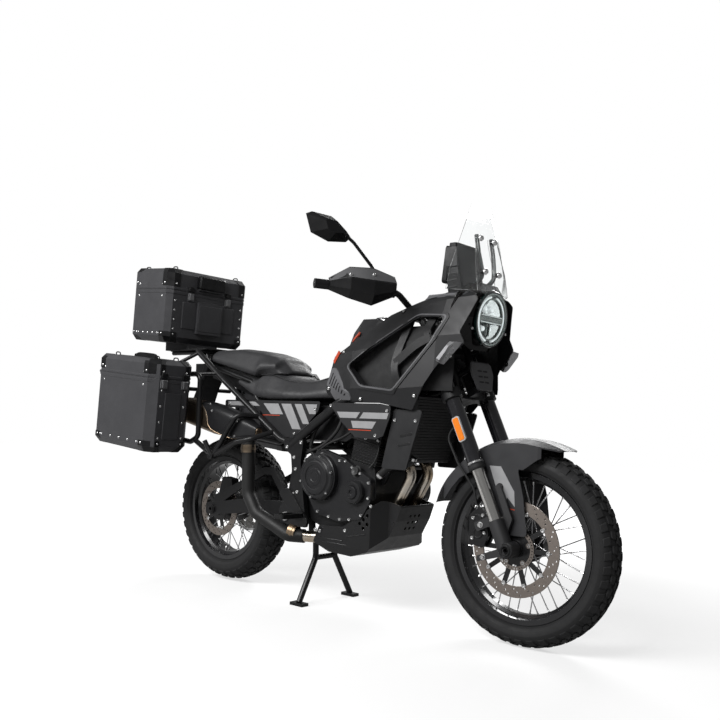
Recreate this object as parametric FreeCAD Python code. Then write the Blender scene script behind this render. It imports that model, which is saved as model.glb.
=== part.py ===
"""Adventure motorcycle with wire wheels, three aluminium luggage cases, a centre stand and a side stand.

Units are millimetres. X points forward, Y to the rider's left and Z up. Every size below is written in the
chassis frame, whose origin lies on the floor half way between the two axles. At export each piece moves
forward by SHIFT_X, so that the origin ends up on the floor under the middle of the whole machine.
"""
import FreeCAD, Part
import functools
import math
import os

V = FreeCAD.Vector

# ---------------------------------------------------------------- driving dimensions
WHEELBASE = 1487.0
FRONT_TYRE_R = 332.0          # 110/80-19 with a block tread
FRONT_TYRE_W = 112.0
FRONT_BEAD_R = 241.3          # 19 inch rim
FRONT_RIM_W = 64.0
REAR_TYRE_R = 318.0           # 150/70-17
REAR_TYRE_W = 155.0
REAR_BEAD_R = 215.9           # 17 inch rim
REAR_RIM_W = 108.0
REAR_LIFT = 5.0               # the rear tyre hangs this far off the floor on the centre stand
RAKE = 25.5                   # steering axis, degrees from the vertical
LOWER_CROWN_Z = 805.0         # underside of the lower fork crown, on the steering axis
FORK_SPACING = 216.0          # between the leg centres
FORK_OFFSET = 32.0            # legs ahead of the steering axis
AXLE_LEAD = 11.0              # front axle ahead of the legs
OUTER_TUBE_R = 27.0
INNER_TUBE_R = 21.5
AXLE_R = 12.5
AXLE_BORE_R = 8.0             # the axles are hollow
BEARING_GAP = 0.2             # running clearance of a bore on its shaft
SLIDE_GAP = 0.15              # clearance of parts fitted over each other on one body
FREE_GAP = 0.3                # clearance of faces that only lie close together
SPOKES = 36
SPOKE_R = 2.0
CASE_WALL = 3.0               # aluminium sheet with its inner lining
CASE_TILT = 5.0               # the side cases lean forward with the tail, degrees
TOP_CASE_TILT = 4.5
SIDE_CASE_CHAMFER = 36.0      # flats on the cases' upright corners
TOP_CASE_CHAMFER = 24.0
CASE_FLOOR_CHAMFER = 24.0     # slope between the cases' walls and floors
LID_CHAMFER = 20.0
OVERALL_LENGTH = 2352.0       # front tyre to the back of the top case

FRONT_AXLE = V(WHEELBASE / 2, 0, FRONT_TYRE_R)
REAR_AXLE = V(-WHEELBASE / 2, 0, REAR_TYRE_R + REAR_LIFT)
FRONT_END_X = FRONT_AXLE.x + FRONT_TYRE_R
SHIFT_X = OVERALL_LENGTH / 2 - FRONT_END_X
REAR_END_X = FRONT_END_X - OVERALL_LENGTH

# ---------------------------------------------------------------- steering frame
SIN_RAKE = math.sin(math.radians(RAKE))
COS_RAKE = math.cos(math.radians(RAKE))
STEER_UP = V(-SIN_RAKE, 0, COS_RAKE)
STEER_AHEAD = V(COS_RAKE, 0, SIN_RAKE)
_FOOT = FRONT_AXLE - STEER_AHEAD * (FORK_OFFSET + AXLE_LEAD)
STEER_BASE = _FOOT + STEER_UP * ((LOWER_CROWN_Z - _FOOT.z) / COS_RAKE)
AXLE_S = (FRONT_AXLE - STEER_BASE).dot(STEER_UP)


def steer(s, ahead=0.0, y=0.0):
    """A point s up the steering axis from the lower crown, ahead of it and y to the left."""
    return STEER_BASE + STEER_UP * s + STEER_AHEAD * ahead + V(0, y, 0)


# ---------------------------------------------------------------- shape helpers
def box(x0, x1, y0, y1, z0, z1):
    return Part.makeBox(x1 - x0, y1 - y0, z1 - z0, V(x0, y0, z0))


def rod(p, q, radius):
    """A round bar from p to q."""
    return Part.makeCylinder(radius, (q - p).Length, p, q - p)


def both(shape):
    """The shape and its mirror image on the other side of the machine, as one compound."""
    return Part.makeCompound([shape, mirrored(shape)])


def mirrored(shape):
    return shape.mirror(V(0, 0, 0), V(0, 1, 0))


def tilted(shape, centre, degrees):
    """The shape turned about the Y axis through centre, its top toward the front."""
    out = shape.copy()
    out.rotate(centre, V(0, 1, 0), degrees)
    return out


def fused(shapes):
    """One shape from several, with faces that run on into each other merged where that stays sound."""
    out = shapes[0]
    for shape in shapes[1:]:
        out = out.fuse(shape)
    merged = out.copy().removeSplitter()
    return merged if merged.isValid() else out


def rounded(points, radius):
    """A closed wire through the points with every corner rounded by radius, or less where a side is short."""
    edges = []
    count = len(points)
    ends = []
    for i, corner in enumerate(points):
        back = (points[i - 1] - corner)
        ahead = (points[(i + 1) % count] - corner)
        turn = back.getAngle(ahead)
        reach = radius / math.tan(turn / 2) if radius > 0 else 0
        reach = min(reach, back.Length * 0.45, ahead.Length * 0.45)
        if reach < 0.01 or turn > math.radians(179):
            ends.append((corner, corner, None))
            continue
        start = corner + V(back).normalize() * reach
        stop = corner + V(ahead).normalize() * reach
        half = (V(back).normalize() + V(ahead).normalize()).normalize()
        true_r = reach * math.tan(turn / 2)
        middle = corner + half * (true_r / math.sin(turn / 2) - true_r)
        ends.append((start, stop, middle))
    for i, (start, stop, middle) in enumerate(ends):
        if middle is not None:
            edges.append(Part.Arc(start, middle, stop).toShape())
        following = ends[(i + 1) % count][0]
        if (following - stop).Length > 0.01:
            edges.append(Part.LineSegment(stop, following).toShape())
    return Part.Wire(edges)


def slab_xz(points, y0, y1, radius=0.0):
    """A flat plate: an outline of (x, z) points with rounded corners, from y0 to y1."""
    face = Part.Face(rounded([V(x, y0, z) for x, z in points], radius))
    return face.extrude(V(0, y1 - y0, 0))


def slab_xy(points, z0, z1, radius=0.0):
    face = Part.Face(rounded([V(x, y, z0) for x, y in points], radius))
    return face.extrude(V(0, 0, z1 - z0))


def slab_yz(points, x0, x1, radius=0.0):
    face = Part.Face(rounded([V(x0, y, z) for y, z in points], radius))
    return face.extrude(V(x1 - x0, 0, 0))


def spun(centre, profile, radius=0.0):
    """A turned part on the Y axis through centre, from a closed profile of (y, r) points."""
    points = [V(centre.x, y, centre.z + r) for y, r in profile]
    return Part.Face(rounded(points, radius)).revolve(centre, V(0, 1, 0), 360)


def bent_tube(points, radius, bend, inner=0.0):
    """A tube through the points, straight between tangent bends of the given radius."""
    edges = []
    here = points[0]
    for i in range(1, len(points) - 1):
        corner = points[i]
        back = (points[i - 1] - corner)
        ahead = (points[i + 1] - corner)
        turn = back.getAngle(ahead)
        reach = min(bend / math.tan(turn / 2), back.Length * 0.45, ahead.Length * 0.45)
        start = corner + V(back).normalize() * reach
        stop = corner + V(ahead).normalize() * reach
        true_r = reach * math.tan(turn / 2)
        half = (V(back).normalize() + V(ahead).normalize()).normalize()
        middle = corner + half * (true_r / math.sin(turn / 2) - true_r)
        edges.append(Part.LineSegment(here, start).toShape())
        edges.append(Part.Arc(start, middle, stop).toShape())
        here = stop
    edges.append(Part.LineSegment(here, points[-1]).toShape())
    path = Part.Wire(edges)
    solid = path.makePipeShell([_ring(points, radius)], True, True)
    if inner > 0:
        solid = solid.cut(path.makePipeShell([_ring(points, inner)], True, True))
    return solid


def _ring(points, radius):
    return Part.Wire([Part.makeCircle(radius, points[0], points[1] - points[0])])


def lofted(sections, ruled=True):
    return Part.makeLoft(sections, True, ruled)


def ring_yz(x, points, radius=0.0):
    """A closed cross-section at x from (y, z) points given for the left half only, from the bottom up."""
    left = [V(x, y, z) for y, z in points]
    right = [V(x, -y, z) for y, z in reversed(points) if y > 0.01]
    return rounded(left + right, radius)


# ---------------------------------------------------------------- wheels
def tyre(axle, tyre_r, tyre_w, bead_r, rim_w):
    """Carcass with a rounded crown. Its bead sits on the rim's seat between the flanges."""
    half = tyre_w / 2
    seat = rim_w / 2
    height = tyre_r - bead_r
    flange = bead_r + RIM_FLANGE

    def at(y, r):
        return V(axle.x, y, axle.z + r)

    def side(sign):
        low = at(sign * (seat + 7), flange + 3)
        belly = at(sign * half, bead_r + 0.5 * height)
        shoulder = at(sign * half * 0.9, tyre_r - 0.27 * height)
        return low, belly, shoulder

    low_l, belly_l, shoulder_l = side(1)
    low_r, belly_r, shoulder_r = side(-1)
    edges = [
        Part.LineSegment(at(-seat, bead_r), at(seat, bead_r)),
        Part.LineSegment(at(seat, bead_r), at(seat, flange)),
        Part.LineSegment(at(seat, flange), low_l),
        Part.Arc(low_l, belly_l, shoulder_l),
        Part.Arc(shoulder_l, at(0, tyre_r), shoulder_r),
        Part.Arc(shoulder_r, belly_r, low_r),
        Part.LineSegment(low_r, at(-seat, flange)),
        Part.LineSegment(at(-seat, flange), at(-seat, bead_r)),
    ]
    face = Part.Face(Part.Wire([e.toShape() for e in edges]))
    return face.revolve(axle, V(0, 1, 0), 360)


FLANGE_HALF = 6.0             # half the thickness of a spoke flange
SPOKE_STEP = 3.2              # crossing spokes pass this far either side of the middle
RIM_FLANGE = 13.0
RIM_WELL = 14.0
RIM_WALL = 5.0


def rim(axle, bead_r, rim_w):
    """Channel-section rim with a drop centre and two flanges."""
    seat = rim_w / 2
    outer = [(-seat - 6, bead_r + RIM_FLANGE), (-seat, bead_r + RIM_FLANGE), (-seat, bead_r),
             (-seat + 14, bead_r - 1), (-seat + 22, bead_r - RIM_WELL)]
    inner = [(seat + 6, bead_r - RIM_WALL), (seat - 12, bead_r - RIM_WALL - 3),
             (seat - 20, bead_r - RIM_WELL - RIM_WALL)]
    profile = outer + [(-y, r) for y, r in reversed(outer)] + inner + [(-y, r) for y, r in reversed(inner)]
    return spun(axle, profile)


def hub(axle, barrel_r, flange_r, flange_y, end_y, end_r):
    """Hub shell with two spoke flanges, and an end boss each side for disc, sprocket or spacer."""
    half = [(flange_y - 11, barrel_r), (flange_y - FLANGE_HALF, flange_r), (flange_y + FLANGE_HALF, flange_r),
            (flange_y + 11, end_r),
            (end_y, end_r), (end_y, AXLE_R + BEARING_GAP)]
    profile = half + [(-y, r) for y, r in reversed(half)]
    return spun(axle, profile)


def spokes(axle, flange_r, flange_y, bead_r, hub_shape, rim_shape):
    """Tangential spokes in crossing pairs. Each is trimmed to its seats in the hub flange and the rim."""
    out = []
    seat_r = bead_r - RIM_WELL
    pitch = 360.0 / SPOKES
    cross = 4.5 * pitch
    for i in range(SPOKES):
        side = 1 if i % 2 else -1
        lean = 1 if (i // 2) % 2 else -1
        at_rim = math.radians((i + 0.5) * pitch)
        at_hub = at_rim + lean * math.radians(cross)
        step = lean * SPOKE_STEP
        p = V(axle.x + (flange_r - 6) * math.cos(at_hub), side * (flange_y + step),
              axle.z + (flange_r - 6) * math.sin(at_hub))
        q = V(axle.x + seat_r * math.cos(at_rim), side * (5.0 + step), axle.z + seat_r * math.sin(at_rim))
        spoke = rod(p, q, SPOKE_R).cut(rim_shape).cut(hub_shape)
        out.append(max(spoke.Solids, key=lambda s: s.Volume))
    return Part.makeCompound(out)


def disc(axle, y, outer_r, inner_r, thickness, holes, hole_r):
    """Brake disc with rows of drilled holes, set along slanted lines."""
    band = spun(axle, [(y - thickness / 2, inner_r), (y - thickness / 2, outer_r),
                       (y + thickness / 2, outer_r), (y + thickness / 2, inner_r)])
    drills = []
    for i in range(holes):
        for step in range(3):
            angle = math.radians(360.0 / holes * (i + 0.28 * step))
            r = inner_r + (outer_r - inner_r) * (0.24 + 0.26 * step)
            start = V(axle.x + r * math.cos(angle), y - thickness, axle.z + r * math.sin(angle))
            drills.append(Part.makeCylinder(hole_r, 2 * thickness, start, V(0, 1, 0)))
    return band.cut(Part.makeCompound(drills))


def carrier(axle, y, outer_r, bore_r, thickness, arms, arm_w):
    """Spider that carries a disc: a ring on the hub and arms out to the disc's inner edge."""
    low, high = y - thickness / 2, y + thickness / 2
    ring = spun(axle, [(low, bore_r), (low, bore_r + 22), (high, bore_r + 22), (high, bore_r)])
    parts = [ring]
    for i in range(arms):
        arm = box(bore_r + 10, outer_r - FREE_GAP, low, high, -arm_w / 2, arm_w / 2)
        arm.rotate(V(0, 0, 0), V(0, 1, 0), 360.0 / arms * i)
        arm.translate(axle)
        parts.append(arm)
    out = fused(parts)
    inside = spun(axle, [(low - 1, outer_r - FREE_GAP), (low - 1, outer_r + 60), (high + 1, outer_r + 60),
                         (high + 1, outer_r - FREE_GAP)])
    return out.cut(inside)


FRONT_DISC_Y = 68.0
FRONT_DISC_R = 160.0
FRONT_DISC_INNER_R = 122.0
DISC_T = 5.0
FRONT_FLANGE_Y = 30.0
FRONT_FLANGE_R = 52.0
FRONT_HUB_END = 76.0
PULSE_SLOTS = 40
HUB_END_R = 30.0
REAR_DISC_Y = -88.0
REAR_DISC_R = 120.0
REAR_DISC_INNER_R = 88.0
SPROCKET_Y = 95.0
SPROCKET_R = 100.0
SPROCKET_T = 7.0
REAR_FLANGE_Y = 40.0
REAR_FLANGE_R = 60.0
REAR_HUB_END = 104.0


def front_wheel():
    rim_shape = rim(FRONT_AXLE, FRONT_BEAD_R, FRONT_RIM_W)
    hub_shape = hub(FRONT_AXLE, 26, FRONT_FLANGE_R, FRONT_FLANGE_Y, FRONT_HUB_END, HUB_END_R)
    hub_shape = fused([hub_shape, carrier(FRONT_AXLE, -FRONT_DISC_Y, FRONT_DISC_INNER_R, HUB_END_R, DISC_T,
                                          10, 16)])
    brake = disc(FRONT_AXLE, -FRONT_DISC_Y, FRONT_DISC_R, FRONT_DISC_INNER_R, DISC_T, 20, 3.0)
    return {
        "front_tyre": tyre(FRONT_AXLE, FRONT_TYRE_R, FRONT_TYRE_W, FRONT_BEAD_R, FRONT_RIM_W),
        "front_rim": rim_shape,
        "front_hub": hub_shape,
        "front_spokes": spokes(FRONT_AXLE, FRONT_FLANGE_R, FRONT_FLANGE_Y, FRONT_BEAD_R, hub_shape,
                               rim_shape),
        "front_discs": Part.makeCompound([brake, pulse_ring()]),
    }


PULSE_RING_R = 70.0
PULSE_RING_T = 2.5


def pulse_ring():
    """Slotted ring for the wheel speed sensor, on lobes against the outside of the disc's carrier."""
    high = -FRONT_DISC_Y - DISC_T / 2
    low = high - PULSE_RING_T
    ring = spun(FRONT_AXLE, [(low, PULSE_RING_R - 13), (low, PULSE_RING_R), (high, PULSE_RING_R),
                             (high, PULSE_RING_R - 13)])
    slots = []
    for i in range(PULSE_SLOTS):
        slot = box(PULSE_RING_R - 8, PULSE_RING_R - 3, low - 1, high + 1, -1.6, 1.6)
        slot.rotate(V(0, 0, 0), V(0, 1, 0), 360.0 / PULSE_SLOTS * i)
        slot.translate(FRONT_AXLE)
        slots.append(slot)
    lobes = []
    for i in range(5):
        angle = math.radians(72 * i + 18)
        start = V(FRONT_AXLE.x + 52 * math.cos(angle), low, FRONT_AXLE.z + 52 * math.sin(angle))
        lobes.append(Part.makeCylinder(9, PULSE_RING_T, start, V(0, 1, 0)))
    return fused([ring.cut(Part.makeCompound(slots))] + lobes)


def rear_wheel():
    rim_shape = rim(REAR_AXLE, REAR_BEAD_R, REAR_RIM_W)
    hub_shape = hub(REAR_AXLE, 34, REAR_FLANGE_R, REAR_FLANGE_Y, REAR_HUB_END, HUB_END_R)
    hub_shape = fused([hub_shape, carrier(REAR_AXLE, REAR_DISC_Y, REAR_DISC_INNER_R, HUB_END_R, DISC_T, 5,
                                          18)])
    return {
        "rear_tyre": tyre(REAR_AXLE, REAR_TYRE_R, REAR_TYRE_W, REAR_BEAD_R, REAR_RIM_W),
        "rear_rim": rim_shape,
        "rear_hub": hub_shape,
        "rear_spokes": spokes(REAR_AXLE, REAR_FLANGE_R, REAR_FLANGE_Y, REAR_BEAD_R, hub_shape, rim_shape),
        "rear_disc": disc(REAR_AXLE, REAR_DISC_Y, REAR_DISC_R, REAR_DISC_INNER_R, DISC_T, 16, 3.5),
        "rear_sprocket": sprocket(),
    }


def sprocket():
    """Toothed rear sprocket with lightening windows, bolted to the hub's left end."""
    low, high = SPROCKET_Y - SPROCKET_T / 2, SPROCKET_Y + SPROCKET_T / 2
    plate = spun(REAR_AXLE, [(low, HUB_END_R), (low, SPROCKET_R), (high, SPROCKET_R), (high, HUB_END_R)])
    windows = []
    for i in range(6):
        angle = math.radians(60 * i)
        start = V(REAR_AXLE.x + 66 * math.cos(angle), low - 1, REAR_AXLE.z + 66 * math.sin(angle))
        windows.append(Part.makeCylinder(16, SPROCKET_T + 2, start, V(0, 1, 0)))
    return plate.cut(Part.makeCompound(windows))


# ---------------------------------------------------------------- fork and steering
LEG_Y = FORK_SPACING / 2
CROWN_LOW_T = 32.0
CROWN_TOP_S = 180.0
CROWN_TOP_T = 26.0
HEAD_TUBE_R = 30.0
STEM_R = 20.0
OUTER_TUBE_END_S = -247.0
OUTER_TUBE_TOP_S = 214.0
INNER_TUBE_END_S = -440.0
BAR_R = 14.3                  # tapered bar, 28.6 mm at the clamp
GRIP_R = 17.0
BAR_END_Y = 418.0
FENDER_GAP = 30.0             # inside of the fender above the tread
FENDER_T = 3.5


def crown_plan(s, thickness, stem_r):
    """A fork crown: a web between two round leg clamps, with the stem boss behind it."""
    rows = []
    for y in (LEG_Y, -LEG_Y):
        rows.append(rod(steer(s, FORK_OFFSET, y), steer(s + thickness, FORK_OFFSET, y), OUTER_TUBE_R + 9))
    rows.append(rod(steer(s), steer(s + thickness), stem_r + 12))
    corners = [(14, -LEG_Y), (14, LEG_Y), (48, LEG_Y - 12), (40, 0), (48, -LEG_Y + 12)]
    outline = [steer(s, a, y) for a, y in corners]
    rows.append(Part.Face(rounded(outline, 6)).extrude(STEER_UP * thickness))
    rows.append(Part.Face(rounded([steer(s, -18, -20), steer(s, -18, 20), steer(s, 30, 70),
                                   steer(s, 30, -70)], 4))
                .extrude(STEER_UP * thickness))
    return fused(rows)


@functools.cache
def fork_yoke():
    """Both crowns on their stem, bored for the legs."""
    yoke = fused([crown_plan(0, CROWN_LOW_T, STEM_R), crown_plan(CROWN_TOP_S, CROWN_TOP_T, STEM_R),
                  rod(steer(0), steer(CROWN_TOP_S + CROWN_TOP_T + 8), STEM_R)])
    for y in (LEG_Y, -LEG_Y):
        yoke = yoke.cut(rod(steer(-10, FORK_OFFSET, y), steer(CROWN_TOP_S + 60, FORK_OFFSET, y),
                            OUTER_TUBE_R))
    return yoke


def fork_outer_tubes():
    tube = rod(steer(OUTER_TUBE_END_S, FORK_OFFSET, LEG_Y), steer(OUTER_TUBE_TOP_S, FORK_OFFSET, LEG_Y),
               OUTER_TUBE_R)
    tube = tube.cut(rod(steer(OUTER_TUBE_END_S - 1, FORK_OFFSET, LEG_Y),
                        steer(OUTER_TUBE_END_S + 120, FORK_OFFSET, LEG_Y), INNER_TUBE_R + SLIDE_GAP))
    return both(tube)


FOOT_IN_Y = 82.0
FOOT_OUT_Y = 130.0


def fork_lowers():
    """Chromed inner tube, cast foot with axle clamp and fender bracket; caliper arms on the right leg."""
    tube = rod(steer(AXLE_S, FORK_OFFSET, LEG_Y), steer(OUTER_TUBE_END_S + 118, FORK_OFFSET, LEG_Y),
               INNER_TUBE_R)
    shell = rod(steer(AXLE_S - 18, FORK_OFFSET, LEG_Y), steer(INNER_TUBE_END_S, FORK_OFFSET, LEG_Y),
                INNER_TUBE_R + 5)
    clamp = rod(V(FRONT_AXLE.x, FOOT_IN_Y, FRONT_AXLE.z), V(FRONT_AXLE.x, FOOT_OUT_Y, FRONT_AXLE.z), 27)
    arm = Part.Face(rounded([steer(AXLE_S + 96, 12, 90), steer(AXLE_S + 128, 6, 90),
                             steer(AXLE_S + 126, -52, 90),
                             steer(AXLE_S + 96, -52, 90)], 6)).extrude(V(0, 18, 0))
    low_arm = Part.Face(rounded([steer(AXLE_S - 14, 26, 90), steer(AXLE_S + 16, 14, 90),
                                 steer(AXLE_S + 22, -84, 90),
                                 steer(AXLE_S + 4, -92, 90)], 6)).extrude(V(0, 18, 0))
    guard = Part.Face(rounded([steer(AXLE_S + 40, 38, 88), steer(AXLE_S + 90, 86, 88),
                               steer(AXLE_S + 214, 86, 88),
                               steer(AXLE_S + 214, 68, 88), steer(AXLE_S + 112, 62, 88),
                               steer(AXLE_S + 104, 38, 88)],
                              8)).extrude(V(0, 10, 0))
    lug = rod(steer(AXLE_S + 102, 76, GUARD_OUT_Y + SLIDE_GAP), steer(AXLE_S + 102, 76, 92), 9)
    lug2 = rod(steer(AXLE_S + 202, 76, GUARD_OUT_Y + SLIDE_GAP), steer(AXLE_S + 202, 76, 92), 9)
    leg = fused([tube, shell, clamp, guard, lug, lug2])
    braked = fused([leg, arm, low_arm])
    axle = rod(V(FRONT_AXLE.x, -FOOT_OUT_Y - 4, FRONT_AXLE.z), V(FRONT_AXLE.x, FOOT_OUT_Y + 4,
                                                                 FRONT_AXLE.z), AXLE_R)
    spacer = rod(V(FRONT_AXLE.x, FRONT_HUB_END + FREE_GAP, FRONT_AXLE.z),
                 V(FRONT_AXLE.x, FOOT_IN_Y + 1, FRONT_AXLE.z), 20)
    whole = fused([leg, mirrored(braked), axle, spacer, mirrored(spacer)])
    return whole.cut(rod(V(FRONT_AXLE.x, -200, FRONT_AXLE.z), V(FRONT_AXLE.x, 200, FRONT_AXLE.z),
                         AXLE_BORE_R))


GUARD_IN_Y = 77.2
GUARD_OUT_Y = 80.6


def front_fender():
    """Crowned arch over the tyre, narrower at both ends, whose sides run down in front of the fork legs."""
    inner = FRONT_TYRE_R + FENDER_GAP
    top = inner + FENDER_T
    skirt = inner - 100

    def arch(half, r_top, r_side):
        pts = [V(FRONT_AXLE.x, -half, FRONT_AXLE.z + skirt), V(FRONT_AXLE.x, -half, FRONT_AXLE.z + r_side),
               V(FRONT_AXLE.x, -half * 0.55, FRONT_AXLE.z + r_top - 3),
               V(FRONT_AXLE.x, 0, FRONT_AXLE.z + r_top),
               V(FRONT_AXLE.x, half * 0.55, FRONT_AXLE.z + r_top - 3),
               V(FRONT_AXLE.x, half, FRONT_AXLE.z + r_side),
               V(FRONT_AXLE.x, half, FRONT_AXLE.z + skirt)]
        return pts

    outside = arch(GUARD_OUT_Y, top, top - 18)
    inside = arch(GUARD_IN_Y, inner, inner - 18)
    section = Part.Face(Part.makePolygon(outside + inside[::-1] + [outside[0]]))
    section.rotate(FRONT_AXLE, V(0, 1, 0), 26)
    band = section.revolve(FRONT_AXLE, V(0, 1, 0), -96)
    # the arch's outline seen from above, x and half width, and its lower edge seen from the side, x and z
    plan = [(904, 26), (884, 56), (846, 72), (806, 84), (476, 84), (440, 72), (392, 46)]
    edge = [(380, 440), (463, 476), (487, 512), (519, 549), (559, 572), (606, 588), (640, 560), (748, 580),
            (782, 604), (816, 628), (864, 650), (910, 664)]
    seen_above = slab_xy([(x, y) for x, y in plan] + [(x, -y) for x, y in reversed(plan)], 300, 760, 10)
    seen_aside = slab_xz(edge + [(910, 760), (380, 760)], -100, 100, 10)
    band = band.common(seen_above).common(seen_aside)
    cheek = [(622, 640), (621, 569), (697, 389), (711, 375), (790, 377), (771, 504), (750, 582), (750, 640)]
    side = slab_xz(cheek, GUARD_IN_Y, GUARD_OUT_Y, 12)
    return fused([band, side, mirrored(side)])


def front_calipers():
    """Four-piston radial caliper over the disc's rear edge, cut out for the disc."""
    centre = FRONT_AXLE + V(-132, 0, 62)
    body = [(-36, -62), (20, -72), (38, -30), (30, 48), (-6, 66), (-38, 34)]
    outline = [(centre.x + a, centre.z + b) for a, b in body]
    block = slab_xz(outline, 46, 89.7, 12)
    slot = spun(FRONT_AXLE, [(FRONT_DISC_Y - 8, 96), (FRONT_DISC_Y - 8, FRONT_DISC_R + 6),
                             (FRONT_DISC_Y + 8, FRONT_DISC_R + 6), (FRONT_DISC_Y + 8, 96)])
    pad_in = slab_xz([(centre.x - 18, centre.z - 34), (centre.x + 14, centre.z - 34),
                      (centre.x + 10, centre.z + 26),
                      (centre.x - 16, centre.z + 26)], FRONT_DISC_Y - 10, FRONT_DISC_Y - DISC_T / 2 - 5, 4)
    block = block.cut(slot).fuse(pad_in)
    clear = rod(steer(AXLE_S - 30, FORK_OFFSET, LEG_Y), steer(0, FORK_OFFSET, LEG_Y),
                INNER_TUBE_R + 5 + FREE_GAP)
    return mirrored(block.cut(clear))


def bar_path():
    clamp = BAR_CLAMP
    return [V(clamp.x, 0, clamp.z), V(clamp.x, 62, clamp.z), V(clamp.x + 5, 190, clamp.z + 68),
            V(clamp.x - 134, BAR_END_Y, clamp.z + 74)]


BAR_CLAMP = steer(CROWN_TOP_S + CROWN_TOP_T + 154, -22)
RISER_R = 17.0


@functools.cache
def handlebar():
    """Wide tapered bar in two risers on the top crown."""
    half = bent_tube(bar_path(), BAR_R - 3, 60)
    thick = rod(V(BAR_CLAMP.x, -70, BAR_CLAMP.z), V(BAR_CLAMP.x, 70, BAR_CLAMP.z), BAR_R)
    parts = [half, mirrored(half), thick]
    for y in (42, -42):
        foot = steer(CROWN_TOP_S + CROWN_TOP_T, 4, y)
        parts.append(rod(foot, V(BAR_CLAMP.x, y, BAR_CLAMP.z), RISER_R - 2))
        parts.append(rod(V(BAR_CLAMP.x, y - 16, BAR_CLAMP.z), V(BAR_CLAMP.x, y + 16, BAR_CLAMP.z), BAR_R + 8))
    shape = fused(parts)
    return shape.cut(fork_yoke())


SHIELD_LOW = (6.0, 100.0)     # s and ahead of the shield's lower edge
SHIELD_TOP = (108.0, 120.0)


def fork_shield():
    """Small blank plate ahead of the lower crown, on a bracket from it."""
    s0, a0 = SHIELD_LOW
    s1, a1 = SHIELD_TOP
    plate = lofted([Part.makePolygon([steer(s0, a0, -38), steer(s0, a0, 38), steer(s0, a0 - 5, 38),
                                      steer(s0, a0 - 5, -38), steer(s0, a0, -38)]),
                    Part.makePolygon([steer(s1, a1, -58), steer(s1, a1, 58), steer(s1, a1 - 5, 58),
                                      steer(s1, a1 - 5, -58), steer(s1, a1, -58)])])
    bracket = Part.Face(rounded([steer(6, 36, -22), steer(26, 36, -22), steer(26, a0 + 1, -22),
                                 steer(6, a0 - 2, -22)], 0)
                        ).extrude(V(0, 44, 0))
    return fused([plate, bracket]).cut(fork_yoke())


@functools.cache
def hand_controls():
    """Rubber grip, switch pod, lever and its perch, each side."""
    p, q = bar_path()[2], bar_path()[3]
    reach = V(q - p).normalize()

    def along(d):
        return p + reach * d

    grip = rod(along(108), along(238), GRIP_R)
    pod = rod(along(66), along(107.7), GRIP_R + 6)
    perch = rod(along(36), along(65.7), GRIP_R + 3)
    lever_root = along(50) + V(28, 0, -4)
    lever = bent_tube([along(50), lever_root, lever_root + reach * 60 + V(26, 0, -4),
                       lever_root + reach * 190 + V(8, 0, -8)],
                      6, 20)
    reservoir = rod(along(44) + V(0, 0, 12), along(44) + V(0, 0, 44), 20)
    bore = rod(p - reach * 20, q + reach * 20, BAR_R - 3 + SLIDE_GAP)
    body = fused([perch, lever, reservoir]).cut(bore)
    grip = grip.cut(bore)
    pod = pod.cut(bore).cut(lever)
    return Part.makeCompound([grip, mirrored(grip), pod, mirrored(pod), body, mirrored(body)])


def handguards():
    """Moulded shell ahead of each grip, closed round the bar end."""
    guards = []
    # columns: distance along the bar from the guard's root, forward reach, half height, drop of its centre
    sections = [(-14, 70, 34, 10), (70, 84, 64, 0), (150, 72, 53, 8), (212, 34, 20, 3)]
    p, q = bar_path()[2], bar_path()[3]
    reach = V(q - p).normalize()
    front = V(reach.y, -reach.x, 0).normalize()
    up = V(0, 0, 1)
    wires, inner = [], []
    for d, out, tall, drop in sections:
        c = p + reach * (d + 40) + up * drop
        wires.append(Part.makePolygon([c + front * (out - 26) + up * tall,
                                       c + front * out + up * (tall * 0.2),
                                       c + front * (out - 4) - up * (tall * 0.5),
                                       c + front * (out - 34) - up * tall,
                                       c + front * (out - 38) - up * (tall - 3),
                                       c + front * (out - 9) - up * (tall * 0.48),
                                       c + front * (out - 5) + up * (tall * 0.16),
                                       c + front * (out - 30) + up * (tall - 3),
                                       c + front * (out - 26) + up * tall]))
    shell = Part.makeLoft(wires, True, True)
    bar_end = rod(p + reach * 238.4, p + reach * 300, 17)
    clamp = rod(p + reach * 10, p + reach * 30, BAR_R + 6)
    arm = rod(p + reach * 20, p + reach * 42 + front * 62, 8)
    guard = fused([shell, bar_end, clamp, arm])
    guard = guard.cut(rod(p - reach * 5, p + reach * 253.6,
                          BAR_R - 3 + SLIDE_GAP)).cut(hand_controls()).cut(handlebar())
    return both(max(guard.Solids, key=lambda s: s.Volume))


MIRROR_STEM_R = 6.0
MIRROR_C = V(148, 390, 1394)   # middle of the glass
MIRROR_SWEEP = 0.45           # the outer edge lies further back, by this slope


def mirrors():
    """Bent stem from the lever perch up and out to a faceted head."""
    p, q = bar_path()[2], bar_path()[3]
    reach = V(q - p).normalize()
    root = p + reach * 50 + V(-16, 0, 12)
    stem = bent_tube([root, V(224, 240, 1276), V(190, 304, 1354), V(176, 352, 1384)], MIRROR_STEM_R, 24)
    # columns: y, z of the head's outline seen from behind
    outline = [(330, 1352), (391, 1346), (450, 1370), (468, 1432), (448, 1442), (382, 1435), (312, 1370)]

    def ring(reach_x, size):
        points = []
        for y, z in outline:
            at_y = MIRROR_C.y + (y - MIRROR_C.y) * size
            points.append(V(MIRROR_C.x + reach_x - MIRROR_SWEEP * (at_y - MIRROR_C.y), at_y,
                            MIRROR_C.z + (z - MIRROR_C.z) * size))
        return Part.makePolygon(points + points[:1])

    head = Part.makeLoft([ring(0, 1.0), ring(36, 0.45)], True, True)
    return both(fused([head, stem.cut(hand_controls())]))


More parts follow.
